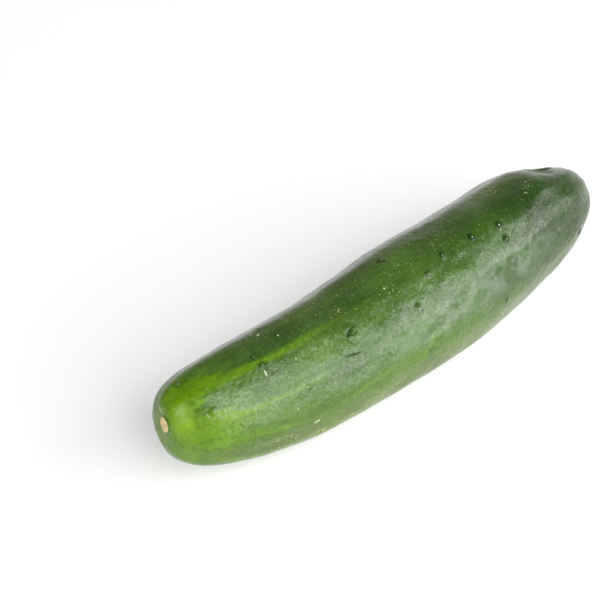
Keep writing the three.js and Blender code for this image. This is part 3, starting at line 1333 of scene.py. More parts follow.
@dataclass(frozen=True)
class SkinFinish:
    """The waxy green skin, paler towards the blossom end and darkest at the stem.

    The sizes and depths are in millimetres. The rings round the marks (painted shade round the
    warts and the blossom scar, the pit's brown edge) and the stretches of the fruit go from where
    an effect starts to where it is full. For the pores' painted shade and for dulled, how strong it
    is at both ends comes after them.
    """

    dark: Colour = Colour(0.029, 0.070, 0.006)
    light: Colour = Colour(0.071, 0.152, 0.013)
    warm: Colour = Colour(1.35, 1.0, 1.1)
    stem: Colour = Colour(0.44, 0.50, 0.80)
    blossom: Colour = Colour(1.3, 1.3, 1.1)
    tip_deep: Colour = Colour(0.066, 0.145, 0.001)
    tip_bright: Colour = Colour(0.118, 0.255, 0.001)
    halo: Colour = Colour(0.22, 0.41, 0.003)
    stripe: Colour = Colour(0.095, 0.205, 0.005)
    # The warm tint, partly painted sheen on the upper rim.
    warm_tint_and_rim_sheen: Colour = Colour(1.9, 1.06, 1.0)
    # The near-black green of painted shade, laid round the warts, in the pores and grooves and
    # round the blossom scar.
    shade: Colour = Colour(0.008, 0.026, 0.005)
    # The pale bloom's colour, partly painted sheen.
    wax_and_sheen: Colour = Colour(0.27, 0.33, 0.27)
    speck: Colour = Colour(0.19, 0.25, 0.09)
    pit: Colour = Colour(0.13, 0.10, 0.03)
    roughness: float = 0.225
    specular: float = 0.44
    wax: float = 0.3
    wax_roughness: float = 0.38
    clouds: Cloud = Cloud(14.0, 0.45, 3)
    streaks: Cloud = Cloud(1.6, 0.08, 3)
    bloom: Cloud = Cloud(5.0, 0.7, 4)
    frost: Cloud = Cloud(1.1, 1.0, 4)
    grain_size: float = 1.5
    fine_size: float = 0.6
    crease_size: float = 8.0
    crease_pace: float = 0.6
    speck_spacing: float = 0.9
    pore_spacing: float = 2.0
    crease_share: float = 0.11
    groove_depth: float = 0.12
    pore_depth: float = 0.03
    grain_depth: float = 0.09
    fine_depth: float = 0.035
    mottle_share: float = 0.35
    streak_share: float = 0.1
    wart_ring: tuple[float, float] = (2.5, 0.9)
    # Where painted shade lies at the blossom scar's edge.
    scar_ring: tuple[float, float] = (4.4, 3.5)
    pit_edge: tuple[float, float] = (6.2, 4.6)
    paled: tuple[float, float] = (60, 15)
    # Where the pores are darkened with painted shade, and how strongly at both ends.
    pores_with_painted_shade: tuple[float, float, float, float] = (40, 120, 0.15, 0.6)
    dulled: tuple[float, float, float, float] = (20, 5, 0.0, 0.1)

    def dress(
        self, leather: bpy.types.NodeTree, specks: bpy.types.NodeTree, creases: bpy.types.NodeTree
    ) -> bpy.types.Material:
        """Make the material.

        Args:
            leather: The shared grain.
            specks: The shared specks.
            creases: The shared creases.

        Returns:
            The material.
        """
        material, g = new_material("cucumber_skin")
        at = self.textures(g, leather, specks, creases)
        height = at["grain"] * (self.grain_depth * MM) + at["fine"] * (self.fine_depth * MM)
        height = height - at["grooves_with_painted_shade"] * (self.groove_depth * MM)
        height = height - at["pores"] * (self.pore_depth * MM)
        bump = g.out("ShaderNodeBump", {"Height": height, "Distance": 1.0, "Strength": 1.0})
        gloss, wax = self.shine(g, at)
        g.end("ShaderNodeOutputMaterial", "ShaderNodeBsdfPrincipled", {
            "Base Color": self.marked(at, self.ripened(g, at, self.green(g, at))),
            "Roughness": self.rough(at), "Specular IOR Level": gloss, "Normal": bump,
            "Coat Weight": wax, "Coat Roughness": self.wax_roughness, "Coat Normal": bump,
        })
        return material

    def textures(
        self, g: Graph, leather: bpy.types.NodeTree, specks: bpy.types.NodeTree,
        creases: bpy.types.NodeTree,
    ) -> dict[str, Value]:
        """Read the skin's facts and lay the noises that its colour, shine and relief share.

        Args:
            g: The material's tree.
            leather: The shared grain.
            specks: The shared specks.
            creases: The shared creases.

        Returns:
            The facts and the noises by name.
        """
        at = {
            name: g.out("ShaderNodeAttribute", output="Fac", attribute_name=name)
            for name in SKIN_FACTS
        }
        place = g.out("ShaderNodeAttribute", output="Vector", attribute_name="grown")

        def effect(tree: bpy.types.NodeTree, where: Value, **inputs: Any) -> dict[str, Value]:
            """Place a shared effect, with its inputs' names written with underscores."""
            values = {name.replace("_", " ").title(): value for name, value in inputs.items()}
            return g.outs("ShaderNodeGroup", {"Place": where, **values}, node_tree=tree)

        grain = effect(leather, place, cell_size=self.grain_size, crease=0.45)
        fine = effect(leather, place, cell_size=self.fine_size, crease=0.3)
        drawn_out = g.stretched(place, (self.crease_pace, 1, 1))
        folds = effect(creases, drawn_out, size=self.crease_size, width=0.03)
        dots = effect(
            specks, place, spacing=self.speck_spacing, size=0.24, share=at["flecks"]
        )
        pores = effect(specks, place, spacing=self.pore_spacing, size=0.13, share=0.6)
        mottle = grain["Mottle"]
        clouds, streaks = self.clouds.laid(g, place), self.streaks.laid(g, place)
        tone = clouds * (1 - self.mottle_share) + mottle * self.mottle_share
        ragged_pit = at["pit_reach"] + mottle.spread(-0.8, 0.8)
        ragged_wart = at["wart_reach"] + mottle.spread(-0.3, 0.3)
        return {
            **at,
            "mottle": mottle,
            "clouds": clouds,
            "streaks": streaks,
            "tone": tone * (1 - self.streak_share) + streaks * self.streak_share,
            "bloom": self.bloom.laid(g, place),
            "frost": self.frost.laid(g, place),
            "grain": grain["Height"],
            "fine": fine["Height"],
            "dots": dots["Mask"],
            "pores": pores["Mask"],
            # Pores darkened, partly darker skin and partly painted shade, more towards the stem.
            "pores_with_painted_shade": pores["Mask"] * at["along"].remap(*self.pores_with_painted_shade),
            # The grooves and the creases, darkened with painted shade.
            "grooves_with_painted_shade": (at["groove"] + folds["Crease"] * self.crease_share).clamped(),
            # A ring of painted shade round each wart, partly darker skin.
            "ringed": ragged_wart.remap(*self.wart_ring) * at["wart_shade"],
            "pitted": ragged_pit.remap(*self.pit_edge),
        }

    def green(self, g: Graph, at: dict[str, Value]) -> Value:
        """Return the green of the ground, in its bands and patches.

        Args:
            g: The material's tree.
            at: The facts and the noises.

        Returns:
            The colour.
        """
        colour = g.mix(at["tone"].spread(0.0, 1.0), self.dark, self.light)
        colour = g.vector("SCALE", colour, at["lightness"])
        colour = colour.tinted(at["warmth"], self.warm)
        colour = colour.tinted(at["darkening"], self.stem)
        return colour.tinted(at["along"].remap(*self.paled), self.blossom)

    def ripened(self, g: Graph, at: dict[str, Value], colour: Value) -> Value:
        """Lay the stripes, the yellow-green end, the ring round the scar and the warm tint, which
        is painted sheen on the upper rim near the stem, on the green.

        Args:
            g: The material's tree.
            at: The facts and the noises.
            colour: The green.

        Returns:
            The colour.
        """
        mottle, streaks = at["mottle"], at["streaks"]
        ragged = streaks.spread(0.65, 1.15) + mottle.spread(-0.25, 0.25)
        colour = colour.mixed((at["stripe"] * ragged).clamped(), self.stripe)
        zone = at["yellowing"] + mottle.spread(-0.16, 0.16) + streaks.spread(-0.22, 0.22)
        bright = (at["brightness"] + at["tone"].remap(0.4, 0.6, -0.45, 0.45)).clamped()
        yellow = g.mix(bright, self.tip_deep, self.tip_bright)
        colour = colour.mixed(zone.remap(0.25, 0.8), yellow)
        near_scar = (at["halo"] * at["bloom"].spread(0.75, 1.15)).clamped()
        return colour.mixed(near_scar, self.halo).tinted(at["warm_tint_and_rim_sheen"], self.warm_tint_and_rim_sheen)

    def marked(self, at: dict[str, Value], colour: Value) -> Value:
        """Lay the wax's pale bloom, which is partly painted sheen, and the small marks, some of
        them painted shade, on the colour.

        Args:
            at: The facts and the noises.
            colour: The ripened green.

        Returns:
            The colour.
        """
        layers = (
            # The wax's bloom, partly painted sheen.
            (at["wax_and_sheen"] * at["bloom"].remap(0.35, 0.65, 0.04, 0.26), self.wax_and_sheen),
            (at["dots"] * 0.75, self.speck),
            # Painted shade in the pores.
            (at["pores_with_painted_shade"], self.shade),
            # Painted shade in the grooves and creases.
            (at["grooves_with_painted_shade"] * 0.8, self.shade),
            # Painted shade round the warts.
            (at["ringed"] * 0.9, self.shade),
            # Painted shade at the edge of the blossom scar's dimple.
            (at["scar_reach"].remap(*self.scar_ring) * 0.4, self.shade),
            (at["pitted"], self.pit),
        )
        for share, layer in layers:
            colour = colour.mixed(share, layer)
        return colour

    def rough(self, at: dict[str, Value]) -> Value:
        """Work out the roughness: more near the blossom end, in the pit and in the pores.

        Args:
            at: The facts and the noises.

        Returns:
            The roughness.
        """
        rough = at["clouds"].spread(self.roughness - 0.03, self.roughness + 0.03)
        rough = rough + at["mottle"].spread(-0.04, 0.05) + at["along"].remap(*self.dulled)
        return rough + at["pitted"] * 0.35 + at["pores_with_painted_shade"] * 0.3

    def shine(self, g: Graph, at: dict[str, Value]) -> tuple[Value, Value]:
        """Work out the shine of the skin and of the wax on it.

        Args:
            g: The material's tree.
            at: The facts and the noises.

        Returns:
            The skin's gloss and how thick the wax is.
        """
        frost, clean = at["frost"], 1.0 - at["wiped"]
        gloss = frost.remap(0.32, 0.68, 0.66 * self.specular, 1.34 * self.specular)
        gloss = gloss * at["ringed"].remap(0.0, 1.0, 1.0, 0.4)
        gloss = gloss * at["grooves_with_painted_shade"].remap(0.1, 0.8, 1.0, 0.15) * clean
        wax = at["bloom"].remap(0.38, 0.62) * frost.remap(0.35, 0.65, 0.1, self.wax) * clean
        bare = g.math("MAXIMUM", at["grooves_with_painted_shade"], g.math("MAXIMUM", at["ringed"], at["pitted"]))
        return gloss, wax * (1.0 - bare)


@dataclass(frozen=True)
class CorkFinish:
    """Something dry and dull on the skin, such as cork: two tones and the size of its grain."""

    name: str = "dry_cork"
    pale: Colour = Colour(0.94, 0.80, 0.42)
    brown: Colour = Colour(0.72, 0.54, 0.25)
    roughness: float = 0.75
    grain: float = 0.5
    grain_depth: float = 0.04

    def dress(self, leather: bpy.types.NodeTree) -> bpy.types.Material:
        """Make the material from the shared grain.

        Args:
            leather: The shared grain.

        Returns:
            The material.
        """
        material, g = new_material(self.name)
        place = g.stretched(g.out("ShaderNodeTexCoord", output="Object"), (1 / MM, 1 / MM, 1 / MM))
        grain = g.outs(
            "ShaderNodeGroup", {"Place": place, "Cell Size": self.grain, "Crease": 0.5},
            node_tree=leather,
        )
        mottle = grain["Mottle"]
        bump = g.out(
            "ShaderNodeBump",
            {"Height": grain["Height"], "Distance": self.grain_depth * MM, "Strength": 1.0},
        )
        g.end("ShaderNodeOutputMaterial", "ShaderNodeBsdfPrincipled", {
            "Base Color": g.mix(mottle.spread(0.0, 1.0), self.brown, self.pale),
            "Roughness": mottle.spread(self.roughness - 0.08, self.roughness + 0.08),
            "Normal": bump,
        })
        return material


DRY_SPINE = CorkFinish("dry_spine", Colour(0.66, 0.64, 0.42), Colour(0.36, 0.34, 0.18), 0.7, 0.4)
DRY_FLECK = CorkFinish("dry_fleck", Colour(0.50, 0.53, 0.25), Colour(0.22, 0.28, 0.08), 0.7, 2.5)
BARKS = {
    Bark.CORK: CorkFinish(
        "dry_scuff", Colour(0.46, 0.43, 0.17), Colour(0.26, 0.23, 0.08), 0.7, 0.5
    ),
    Bark.DRY_SKIN: CorkFinish(
        "dry_skin", Colour(0.62, 0.68, 0.34), Colour(0.34, 0.40, 0.16), 0.7, 0.8
    ),
    Bark.DRY_WAX: CorkFinish(
        "dry_wax", Colour(0.74, 0.80, 0.56), Colour(0.42, 0.48, 0.26), 0.6, 0.8
    ),
}


# ---- Geometry trees ------------------------------------------------------------------------------


def relief_tree() -> bpy.types.NodeTree:
    """Make the tree that raises the skin's leathery folds, by a rule on its straightened places.

    Returns:
        The tree.
    """
    g = GeometryGraph("leathery_relief", {
        "Fold Size": (FLOAT, 5.0), "Fold Height": (FLOAT, 0.1),
        "Cell Size": (FLOAT, 2.0), "Cell Height": (FLOAT, 0.04), "Seed": (FLOAT, 3.0),
    })
    place = g.named("grown")

    def wave(where: Value, kind: str) -> Value:
        """Make a noise about zero.

        Args:
            where: The places that it is laid on.
            kind: Fold or Cell, whose size and height it has.

        Returns:
            The noise in millimetres, from half its height below zero to half above.
        """
        noise = g.out(
            "ShaderNodeTexNoise",
            {
                "Vector": where, "W": g.given("Seed"), "Scale": 1.0 / g.given(f"{kind} Size"),
                "Detail": 1.0,
            },
            noise_dimensions="4D",
        )
        return (noise - 0.5) * g.given(f"{kind} Height")

    lift = wave(g.vector("MULTIPLY", place, (0.6, 1, 1)), "Fold") + wave(place, "Cell")
    lift = lift * g.named("free", "FLOAT") * (2 * MM)
    return g.finish(g.moved(g.given("Geometry"), g.out("GeometryNodeInputNormal"), lift))


def chip_tree() -> bpy.types.NodeTree:
    """Make the tree that sets a rough chip on each point, facing and sized as the point says.

    Returns:
        The tree.
    """
    grain, push = 0.8 / MM, 0.4 * MM
    g = GeometryGraph("chips_on_points", {"Roughness": (FLOAT, 0.35)})
    ball = g.out("GeometryNodeMeshIcoSphere", {"Radius": 1.0, "Subdivisions": 2})
    turned = g.out(
        "FunctionNodeAxesToRotation", {0: g.named("facing"), 1: g.named("heading")},
        primary_axis="Z", secondary_axis="X",
    )
    chips = g.whole(g.on_points(g.given("Geometry"), ball, turned, g.named("size")))
    noise = g.noise(g.out("GeometryNodeInputPosition"), grain, 2.0, "Color")
    way = g.vector("SUBTRACT", noise, (0.5, 0.5, 0.5))
    return g.finish(g.moved(chips, way, g.given("Roughness") * push), smooth=False)


def fleck_tree() -> bpy.types.NodeTree:
    """Make the tree that scatters flat dry flecks over the skin, as thickly as its points say.

    Returns:
        The tree.
    """
    patch_size, skew, length, height = 9, 3.0, 1.5, 0.45
    g = GeometryGraph("flecks_on_skin", {
        "Density": (FLOAT, 600000.0), "Smallest": (FLOAT, 0.06), "Largest": (FLOAT, 0.2),
        "Seed": (INTEGER, 11),
    })
    patches = g.noise(g.named("grown"), 1 / patch_size, 2.0).remap(0.38, 0.68)
    density = g.named("flecks", "FLOAT") * patches * g.given("Density")
    scatter = g.add("GeometryNodeDistributePointsOnFaces")
    draw = g.add("FunctionNodeRandomValue", data_type="FLOAT")
    for node, label, value in (
        (scatter, "Mesh", g.given("Geometry")), (scatter, "Density", density),
        (scatter, "Seed", g.given("Seed")),
        (draw, "Min", 0.0), (draw, "Max", 1.0), (draw, "Seed", g.given("Seed")),
    ):
        g.feed(next(s for s in node.inputs if s.name == label and s.enabled), value)
    chance = Value(g, next(s for s in draw.outputs if s.enabled))
    span = g.given("Largest") - g.given("Smallest")
    radius = g.given("Smallest") + g.math("POWER", chance, skew) * span
    scale = g.out("ShaderNodeCombineXYZ", {0: radius * length, 1: radius, 2: radius * height})
    ball = g.out("GeometryNodeMeshIcoSphere", {"Radius": MM, "Subdivisions": 1})
    points, rotation = (Value(g, scatter.outputs[name]) for name in ("Points", "Rotation"))
    return g.finish(g.on_points(points, ball, rotation, scale))


# ---- The cucumber --------------------------------------------------------------------------------


@dataclass
class CucumberSkin:
    """The whole skin: one closed mesh with the warts, the scar's step and the stem pit in it."""

    form: Form = Form()
    net: Net = Net()
    colouring: Colouring = Colouring()
    fold_size: float = 10.0
    fold_height: float = 0.5
    cell_size: float = 3.4
    cell_height: float = 0.13
    offset: np.ndarray = field(init=False)

    def build(self, material: bpy.types.Material) -> bpy.types.Object:
        """Grow the skin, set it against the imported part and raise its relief.

        Args:
            material: The skin's finish.

        Returns:
            The skin.
        """
        t, angle, mesh = refined(self.net, self.form)
        skin = Skin(self.form, t, angle)
        points = skin.grow()
        self.offset = self.fit(points)
        points = (points + self.offset) * MM
        mesh.vertices.foreach_set("co", points.astype(np.float32).ravel())
        mesh.update()
        along = skin.facts["along"]
        radius = self.form.radius_at(along)
        straight = np.stack([along, radius * np.cos(angle), radius * np.sin(angle)], -1)
        colours = self.colouring.facts(along, angle, radius)
        colours["flecks"] = colours["flecks"] * skin.facts["free"]
        for name, values in {"grown": straight, **skin.facts, **colours}.items():
            keep(mesh, name, values)
        values = {
            "Fold Size": self.fold_size, "Fold Height": self.fold_height,
            "Cell Size": self.cell_size, "Cell Height": self.cell_height,
            "Material": material,
        }
        return realised("cucumber_skin", mesh, relief_tree(), values)

    def fit(self, points: np.ndarray) -> np.ndarray:
        """Work out where the skin goes.

        Args:
            points: The skin's points in millimetres.

        Returns:
            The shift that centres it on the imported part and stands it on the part's lowest face.
        """
        low, high = (np.array(corner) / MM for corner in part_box(CAD_NODE))
        shift = (low + high) / 2 - (points.min(0) + points.max(0)) / 2
        shift[2] = low[2] - points[:, 2].min()
        return shift


@dataclass
class Chip:
    """A small dry chip: its place, its half sizes in millimetres and its turn in degrees."""

    along: float
    angle: float
    half_length: float
    half_width: float
    half_height: float
    turn: float = 0.0


@dataclass(frozen=True)
class ScuffPatch:
    """A patch of small dry bits: its middle, its spread in millimetres and the bits' looks."""

    along: float
    angle: float
    length: float
    width: float
    count: int
    size: tuple[float, float]
    bark: Bark
    seed: int
    stretch: float = 1.0
    breadth: float = 0.7
    height: float = 0.35

    def chips(self, radius: float) -> Iterator[Chip]:
        """Draw the patch's bits about its middle.

        Args:
            radius: The fruit's radius there.

        Yields:
            Each bit.
        """
        dice = dice_from(self.seed)

        def about_zero() -> float:
            """Draw from -1.5 to 1.5, mostly near the middle."""
            return dice() + dice() + dice() - 1.5

        for _ in range(self.count):
            along = self.along + self.length * about_zero()
            angle = self.angle + math.degrees(self.width * about_zero() / radius)
            size = self.size[0] + (self.size[1] - self.size[0]) * dice() ** 2
            long = size * (1 + dice()) * self.stretch
            wide, high = size * self.breadth / math.sqrt(self.stretch), size * self.height
            yield Chip(along, angle, long, wide, high, 360 * dice())


SCUFFS = {
    Bark.CORK: (
        Chip(15.6, 108, 0.3, 0.25, 0.1, 20), Chip(47.2, 147, 0.45, 0.3, 0.12, 30),
        Chip(52.0, 204, 0.8, 0.5, 0.15, 10), Chip(50.2, 204, 0.6, 0.5, 0.15, 60),
        Chip(64.0, 201, 0.7, 0.4, 0.12, 20), Chip(47.6, 119, 0.6, 0.24, 0.1, 85),
        Chip(56.3, 119, 0.3, 0.25, 0.1, 0),
    ),
    Bark.DRY_WAX: (
        Chip(35.7, 119, 1.1, 0.3, 0.16, 268), Chip(48.7, 186, 1.4, 0.26, 0.12, 12),
        Chip(42.5, 77, 0.6, 0.35, 0.12, 20), Chip(47.6, 90, 0.38, 0.3, 0.1, 0),
        Chip(42.0, 163, 0.26, 0.22, 0.1, 0), Chip(91.0, 105, 0.38, 0.32, 0.12, 0),
        Chip(1.25, 77, 2.0, 0.14, 0.08, 248), Chip(1.0, 88, 1.3, 0.12, 0.08, 240),
    ),
}

SCUFF_PATCHES = (
    ScuffPatch(39.0, 196, 5.0, 4.0, 34, (0.08, 0.30), Bark.CORK, 101, 1.5),
    ScuffPatch(29.0, 186, 6.0, 4.0, 10, (0.08, 0.22), Bark.DRY_SKIN, 103),
    ScuffPatch(71.0, 98, 2.6, 1.2, 18, (0.10, 0.28), Bark.CORK, 107, 1.3),
    ScuffPatch(121.0, 97, 1.6, 3.0, 12, (0.10, 0.22), Bark.CORK, 109, 1.8),
    ScuffPatch(93.0, 110, 2.2, 2.6, 14, (0.08, 0.22), Bark.DRY_SKIN, 113),
    ScuffPatch(174.0, 100, 5.0, 3.2, 16, (0.08, 0.20), Bark.DRY_WAX, 127, 3.5),
    ScuffPatch(162.0, 80, 3.4, 2.6, 16, (0.08, 0.20), Bark.DRY_SKIN, 131),
    ScuffPatch(104.0, 92, 8.0, 6.0, 50, (0.06, 0.15), Bark.DRY_SKIN, 137),
    ScuffPatch(67.0, 73, 11.0, 4.0, 90, (0.05, 0.13), Bark.CORK, 157),
    ScuffPatch(60.0, 262, 9.0, 4.0, 30, (0.10, 0.30), Bark.CORK, 139),
    ScuffPatch(140.0, 330, 8.0, 5.0, 34, (0.10, 0.28), Bark.CORK, 149),
    ScuffPatch(95.0, 12, 6.0, 4.0, 26, (0.08, 0.24), Bark.DRY_WAX, 151),
)


@dataclass
class ChipBed:
    """Lays chips on the finished skin."""

    form: Form
    offset: np.ndarray
    tree: BVHTree
    reach: float = 5.0

    def lay(
        self, name: str, chips: list[Chip], nodes: bpy.types.NodeTree, material: bpy.types.Material
    ) -> bpy.types.Object:
        """Set each chip on the skin where its place is, and realise them as one piece.

        Args:
            name: The piece's name.
            chips: The chips.
            nodes: The geometry tree that makes them.
            material: Their finish.

        Returns:
            The piece.
        """
        mesh = bpy.data.meshes.new(name)
        points, facings, headings = zip(*(self.seat(chip) for chip in chips))
        sizes = [
            [chip.half_length * MM, chip.half_width * MM, chip.half_height * MM] for chip in chips
        ]
        mesh.from_pydata(points, [], [])
        for label, values in (("facing", facings), ("heading", headings), ("size", sizes)):
            keep(mesh, label, np.array(values))
        return realised(name, mesh, nodes, {"Material": material})

    def seat(self, chip: Chip) -> tuple[Vector, Vector, Vector]:
        """Find a chip's seat.

        Args:
            chip: The chip.

        Returns:
            Where it stands on the skin, the way it faces and its long direction.
        """
        t = self.form.parameter([chip.along])
        angle = np.radians([chip.angle])
        body = Vector((self.form.body(t, angle)[0] + self.offset) * MM)
        away = Vector(self.form.body_normal(t, angle)[0])
        point, normal, _, _ = self.tree.ray_cast(body + away * self.reach * MM, -away)
        if point is None:
            point, normal, _, _ = self.tree.find_nearest(body)
        _, spine, _ = self.form.spine(np.array([chip.along]))
        forward = Vector(spine[0])
        forward = (forward - forward.dot(normal) * normal).normalized()
        turn = math.radians(chip.turn)
        return point, normal, forward * math.cos(turn) + normal.cross(forward) * math.sin(turn)


@dataclass
class CorkDisc:
    """A round corky scar draped on the skin, with fibres that run out from its middle."""

    name: str
    mark: Mark
    radius: float
    height: float
    ragged: float
    fibre: float
    seed: int
    crumb_share: float = 0.35
    edge_sink: float = 0.25
    eye_depth: float = 0.18
    eye_share: float = 0.1
    root_depth: float = 0.6
    reach: float = 4.0
    waves: int = 9
    rings: int = 26
    columns: int = 110

    def build(self, bed: ChipBed, material: bpy.types.Material) -> bpy.types.Object:
        """Drape the disc on the skin: a closed lens whose underside is sunk in it.

        Args:
            bed: The skin that it lies on.
            material: Its finish.

        Returns:
            The disc.
        """
        centre, axis, heading = bed.seat(Chip(self.mark.along, self.mark.angle, 1, 1, 1))
        across = axis.cross(heading)
        dice = np.random.default_rng(self.seed)
        waves = dice.normal(size=(self.waves, 2)) / np.arange(2, self.waves + 2)[:, None]
        angles = np.arange(self.columns) * TURN / self.columns
        edge = sum(
            a * np.cos(k * angles) + b * np.sin(k * angles) for k, (a, b) in enumerate(waves, 2)
        )
        rim = self.radius * (1 + self.ragged * edge)
        streaks = dice.normal(size=self.columns)
        verts = [centre + axis * self.lift(0.0, 0.0) * MM]
        for ring in range(1, self.rings + 1):
            share = ring / self.rings
            for column, angle in enumerate(angles):
                out = rim[column] * share
                fibre = self.fibre * streaks[column] * share * (1 - share**6)
                crumb = self.crumb_share * self.fibre * dice.normal()
                flat = centre + (heading * math.cos(angle) + across * math.sin(angle)) * out * MM
                point, _, _, _ = bed.tree.ray_cast(flat + axis * self.reach * MM, -axis)
                lift = self.lift(share, fibre + crumb)
                verts.append((point if point is not None else flat) + axis * lift * MM)
        verts.append(centre - axis * self.root_depth * MM)
        mesh = bpy.data.meshes.new(self.name)
        mesh.from_pydata(verts, [], self.faces())
        mesh.shade_smooth()
        mesh.materials.append(material)
        return linked(self.name, mesh)

    def faces(self) -> list[tuple[int, ...]]:
        """Join the top's middle point, its rings and the point underneath.

        Returns:
            The faces, which point outwards.
        """
        faces = []
        under = 1 + self.rings * self.columns
        last = under - self.columns
        for column in range(self.columns):
            after = (column + 1) % self.columns
            faces.append((0, 1 + column, 1 + after))
            for low in range(1, last, self.columns):
                high = low + self.columns
                faces.append((low + column, high + column, high + after, low + after))
        return faces + [
            (under, last + (column + 1) % self.columns, last + column)
            for column in range(self.columns)
        ]

    def lift(self, share: float, rough: float) -> float:
        """Work out the height above the skin: a low edge and a small eye in the middle.

        Args:
            share: The place, as a share of the radius.
            rough: The fibres' height there.

        Returns:
            The height in millimetres.
        """
        body = self.height * (1 - share**8) - self.edge_sink * share**8
        eye = self.eye_depth * math.exp(-((share / self.eye_share) ** 2))
        return body - eye + rough


@dataclass
class Cucumber:
    """The whole fruit: its skin, its cork scars and the dry bits on it.

    A wart's dry tip is as long and as high as tip_length and tip_height times its radius. It is
    turned by tip_turn times its angle, so that no two lie alike.
    """

    skin: CucumberSkin = field(default_factory=CucumberSkin)
    tip_length: float = 1.1
    tip_height: float = 0.7
    tip_turn: float = 40.0

    def build(self) -> list[tuple[bpy.types.Object, Slot]]:
        """Build and dress every piece.

        Returns:
            Each piece with its slot, the skin first.
        """
        leather = leather_group()
        cork = CorkFinish().dress(leather)
        body = self.skin.build(SkinFinish().dress(leather, specks_group(), creases_group()))
        form = self.skin.form
        graph = bpy.context.evaluated_depsgraph_get()
        bed = ChipBed(form, self.skin.offset, BVHTree.FromObject(body, graph))
        chips = chip_tree()
        dry = [bed.lay("wart_tips", self.wart_tips(), chips, DRY_SPINE.dress(leather))]
        for disc in (
            CorkDisc(
                "blossom_scar", form.scar, form.scar.radius,
                height=0.10, ragged=0.17, fibre=0.06, seed=7,
            ),
            CorkDisc(
                "stem_core", form.pit, form.pit.core_radius,
                height=0.12, ragged=0.12, fibre=0.07, seed=23,
            ),
        ):
            dry.append(disc.build(bed, cork))
        flecks = realised(
            "skin_flecks", body.data.copy(), fleck_tree(), {"Material": DRY_FLECK.dress(leather)}
        )
        for bark, finish in BARKS.items():
            dry.append(bed.lay(bark.value, self.scuffs(bark), chips, finish.dress(leather)))
        return [(body, Slot.SKIN), (flecks, Slot.SKIN)] + [(piece, Slot.CORK) for piece in dry]

    def wart_tips(self) -> list[Chip]:
        """Size the dry tips of the warts' spines.

        Returns:
            A chip for each wart that has one.
        """
        return [
            Chip(
                wart.along, wart.angle, wart.tip * self.tip_length, wart.tip,
                wart.tip * self.tip_height, self.tip_turn * wart.angle,
            )
            for wart in self.skin.form.warts() if wart.tip
        ]

    def scuffs(self, bark: Bark) -> list[Chip]:
        """Gather the chips of one kind.

        Args:
            bark: The kind.

        Returns:
            Those that stand alone, then the patches' bits.
        """
        chips = list(SCUFFS.get(bark, ()))
        for patch in SCUFF_PATCHES:
            if patch.bark is bark:
                chips += patch.chips(float(self.skin.form.radius_at(np.array(patch.along))))
        return chips


# ---- The studio ----------------------------------------------------------------------------------


WHITE = Colour(1.0, 1.0, 1.0)


def outward(azimuth: float, elevation: float = 0.0) -> Vector:
    """Return the direction away from the fruit at an azimuth and an elevation in degrees."""
    a, e = math.radians(azimuth), math.radians(elevation)
    return Vector((math.sin(a) * math.cos(e), -math.cos(a) * math.cos(e), math.sin(e)))


def aimed(name: str, data: bpy.types.ID, place: Vector, back: Vector) -> bpy.types.Object:
    """Hang a light or the camera.

    Args:
        name: Its name.
        data: The light or the camera.
        place: Where it hangs.
        back: The direction that it has its back to.

    Returns:
        Its object.
    """
    thing = linked(name, data)
    thing.location = place
    thing.rotation_mode = "QUATERNION"
    thing.rotation_quaternion = back.to_track_quat("Z", "Y")
    return thing


@dataclass(frozen=True)
class Softbox:
    """An upright soft light, like a window in a wall.

    The wall stands at an azimuth and a distance, and the window's edges lie on it, in metres.
    """

    name: str
    azimuth: float
    distance: float
    left: float
    right: float
    bottom: float
    top: float
    radiance: float

    def place(self) -> None:
        """Hang the light so that it faces the fruit."""
        light = bpy.data.lights.new(self.name, "AREA")
        light.shape = "RECTANGLE"
        light.size, light.size_y = self.right - self.left, self.top - self.bottom
        light.energy = self.radiance * math.pi * light.size * light.size_y
        back, across = outward(self.azimuth), outward(self.azimuth + 90)
        place = back * self.distance + across * (self.left + self.right) / 2
        place.z = (self.bottom + self.top) / 2
        aimed(self.name, light, place, back).visible_camera = False


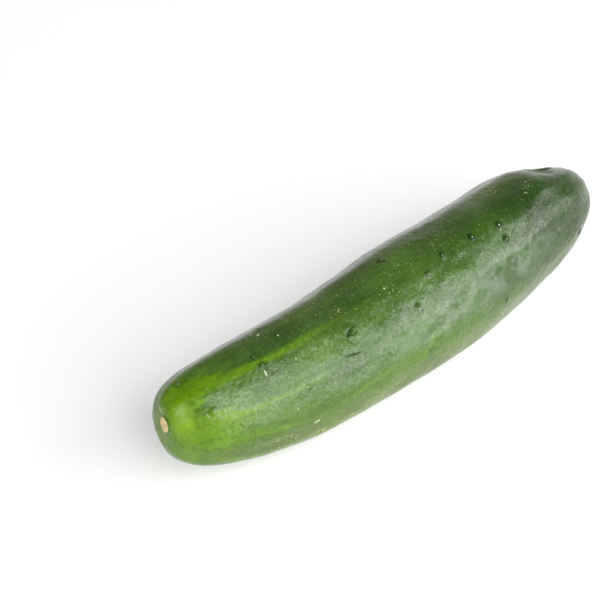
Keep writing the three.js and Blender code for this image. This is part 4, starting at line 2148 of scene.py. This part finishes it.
@dataclass(frozen=True)
class Studio:
    """A pale floor, soft light and a camera above the fruit's near side.

    The surroundings fade from horizon to zenith over the heights in sky. Each row of dimming holds
    an axis, a range along it, and how much of the brightness is left at the range's two ends.
    """

    azimuth: float = -42.05
    elevation: float = 40.74
    distance: float = 900.0
    lens: float = 144.77
    sensor: float = 36.0
    clip: tuple[float, float] = (0.05, 20.0)
    target: tuple[float, float, float] = (-23.58, 27.36, 24.0)
    floor_size: float = 12.0
    floor_gap: float = 0.05
    floor_colour: Colour = Colour(0.62, 0.62, 0.61)
    floor_roughness: float = 0.6
    floor_glow: float = 0.45
    horizon: float = 0.8
    zenith: float = 0.2
    sky: tuple[float, float] = (0.2, 0.5)
    dimming: tuple[tuple[str, float, float, float, float], ...] = (
        ("X", -0.6, 0.3, 0.35, 1.0), ("X", 0.6, 0.95, 1.0, 0.55), ("Y", 0.7, 0.9, 1.0, 0.5),
    )
    softboxes: tuple[Softbox, ...] = (
        Softbox("corner_softbox", 0, 1.0, -0.85, -0.52, 0.95, 1.9, 6.0),
        Softbox("left_softbox", 0, 1.0, -0.52, -0.28, 0.42, 1.8, 6.3),
        Softbox("low_softbox", 0, 1.0, -0.50, -0.28, 0.03, 0.42, 2.0),
        Softbox("tall_softbox", 0, 1.0, -0.28, 0.45, 0.03, 2.15, 3.9),
        Softbox("near_softbox", 0, 1.0, 0.45, 0.95, 0.03, 1.3, 4.2),
        Softbox("long_softbox", 0, 1.0, 0.95, 1.9, 0.3, 1.35, 4.8),
        Softbox("side_softbox", 30, 1.2, 0.64, 1.43, 0.2, 0.95, 2.3),
        Softbox("end_softbox", -85, 1.2, -0.26, 0.2, 0.42, 1.3, 4.0),
    )

    def build(self) -> None:
        """Set the studio up."""
        self.floor()
        self.world()
        for softbox in self.softboxes:
            softbox.place()
        self.camera()
        bpy.context.scene.view_settings.view_transform = "Standard"

    def floor(self) -> None:
        """Lay the floor a hair under the fruit."""
        half, level = self.floor_size / 2, -self.floor_gap * MM
        mesh = bpy.data.meshes.new("floor")
        corners = [(-half, -half), (half, -half), (half, half), (-half, half)]
        mesh.from_pydata([(x, y, level) for x, y in corners], [], [(0, 1, 2, 3)])
        material, g = new_material("pale_floor")
        g.end("ShaderNodeOutputMaterial", "ShaderNodeBsdfPrincipled", {
            "Base Color": self.floor_colour, "Roughness": self.floor_roughness,
            "Emission Color": WHITE, "Emission Strength": self.floor_glow,
        })
        mesh.materials.append(material)
        floor = linked("floor", mesh)

    def world(self) -> None:
        """Make the surroundings: pale near the floor, dim above and behind the two ends."""
        world = bpy.data.worlds.new("studio")
        bpy.context.scene.world = world
        world.use_nodes = True
        g = Graph(world.node_tree)
        direction = g.out("ShaderNodeTexCoord", output="Generated")
        parts = g.outs("ShaderNodeSeparateXYZ", {0: direction})
        strength = parts["Z"].remap(*self.sky, self.horizon, self.zenith)
        for axis, *ends in self.dimming:
            strength = strength * parts[axis].remap(*ends)
        glow = {"Color": WHITE, "Strength": strength}
        g.end("ShaderNodeOutputWorld", "ShaderNodeBackground", glow)

    def camera(self) -> None:
        """Aim the camera."""
        data = bpy.data.cameras.new("camera")
        data.lens, data.sensor_width = self.lens, self.sensor
        data.clip_start, data.clip_end = self.clip
        back = outward(self.azimuth, self.elevation)
        place = (Vector(self.target) + back * self.distance) * MM
        camera = aimed("camera", data, place, back)
        bpy.context.scene.camera = camera


def main() -> None:
    """Build the studio and the fruit, hang each piece on the body and log its triangles."""
    logging.basicConfig(level=logging.INFO, format="%(name)s: %(message)s")
    Studio().build()
    for piece, slot in Cucumber().build():
        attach(piece, BODY)
        if piece.name == "cucumber_skin":
            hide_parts(CAD_NODE)
        piece.data.calc_loop_triangles()
        LOG.info("%s: %d triangles", piece.name, len(piece.data.loop_triangles))


if __name__ == "__main__":
    main()
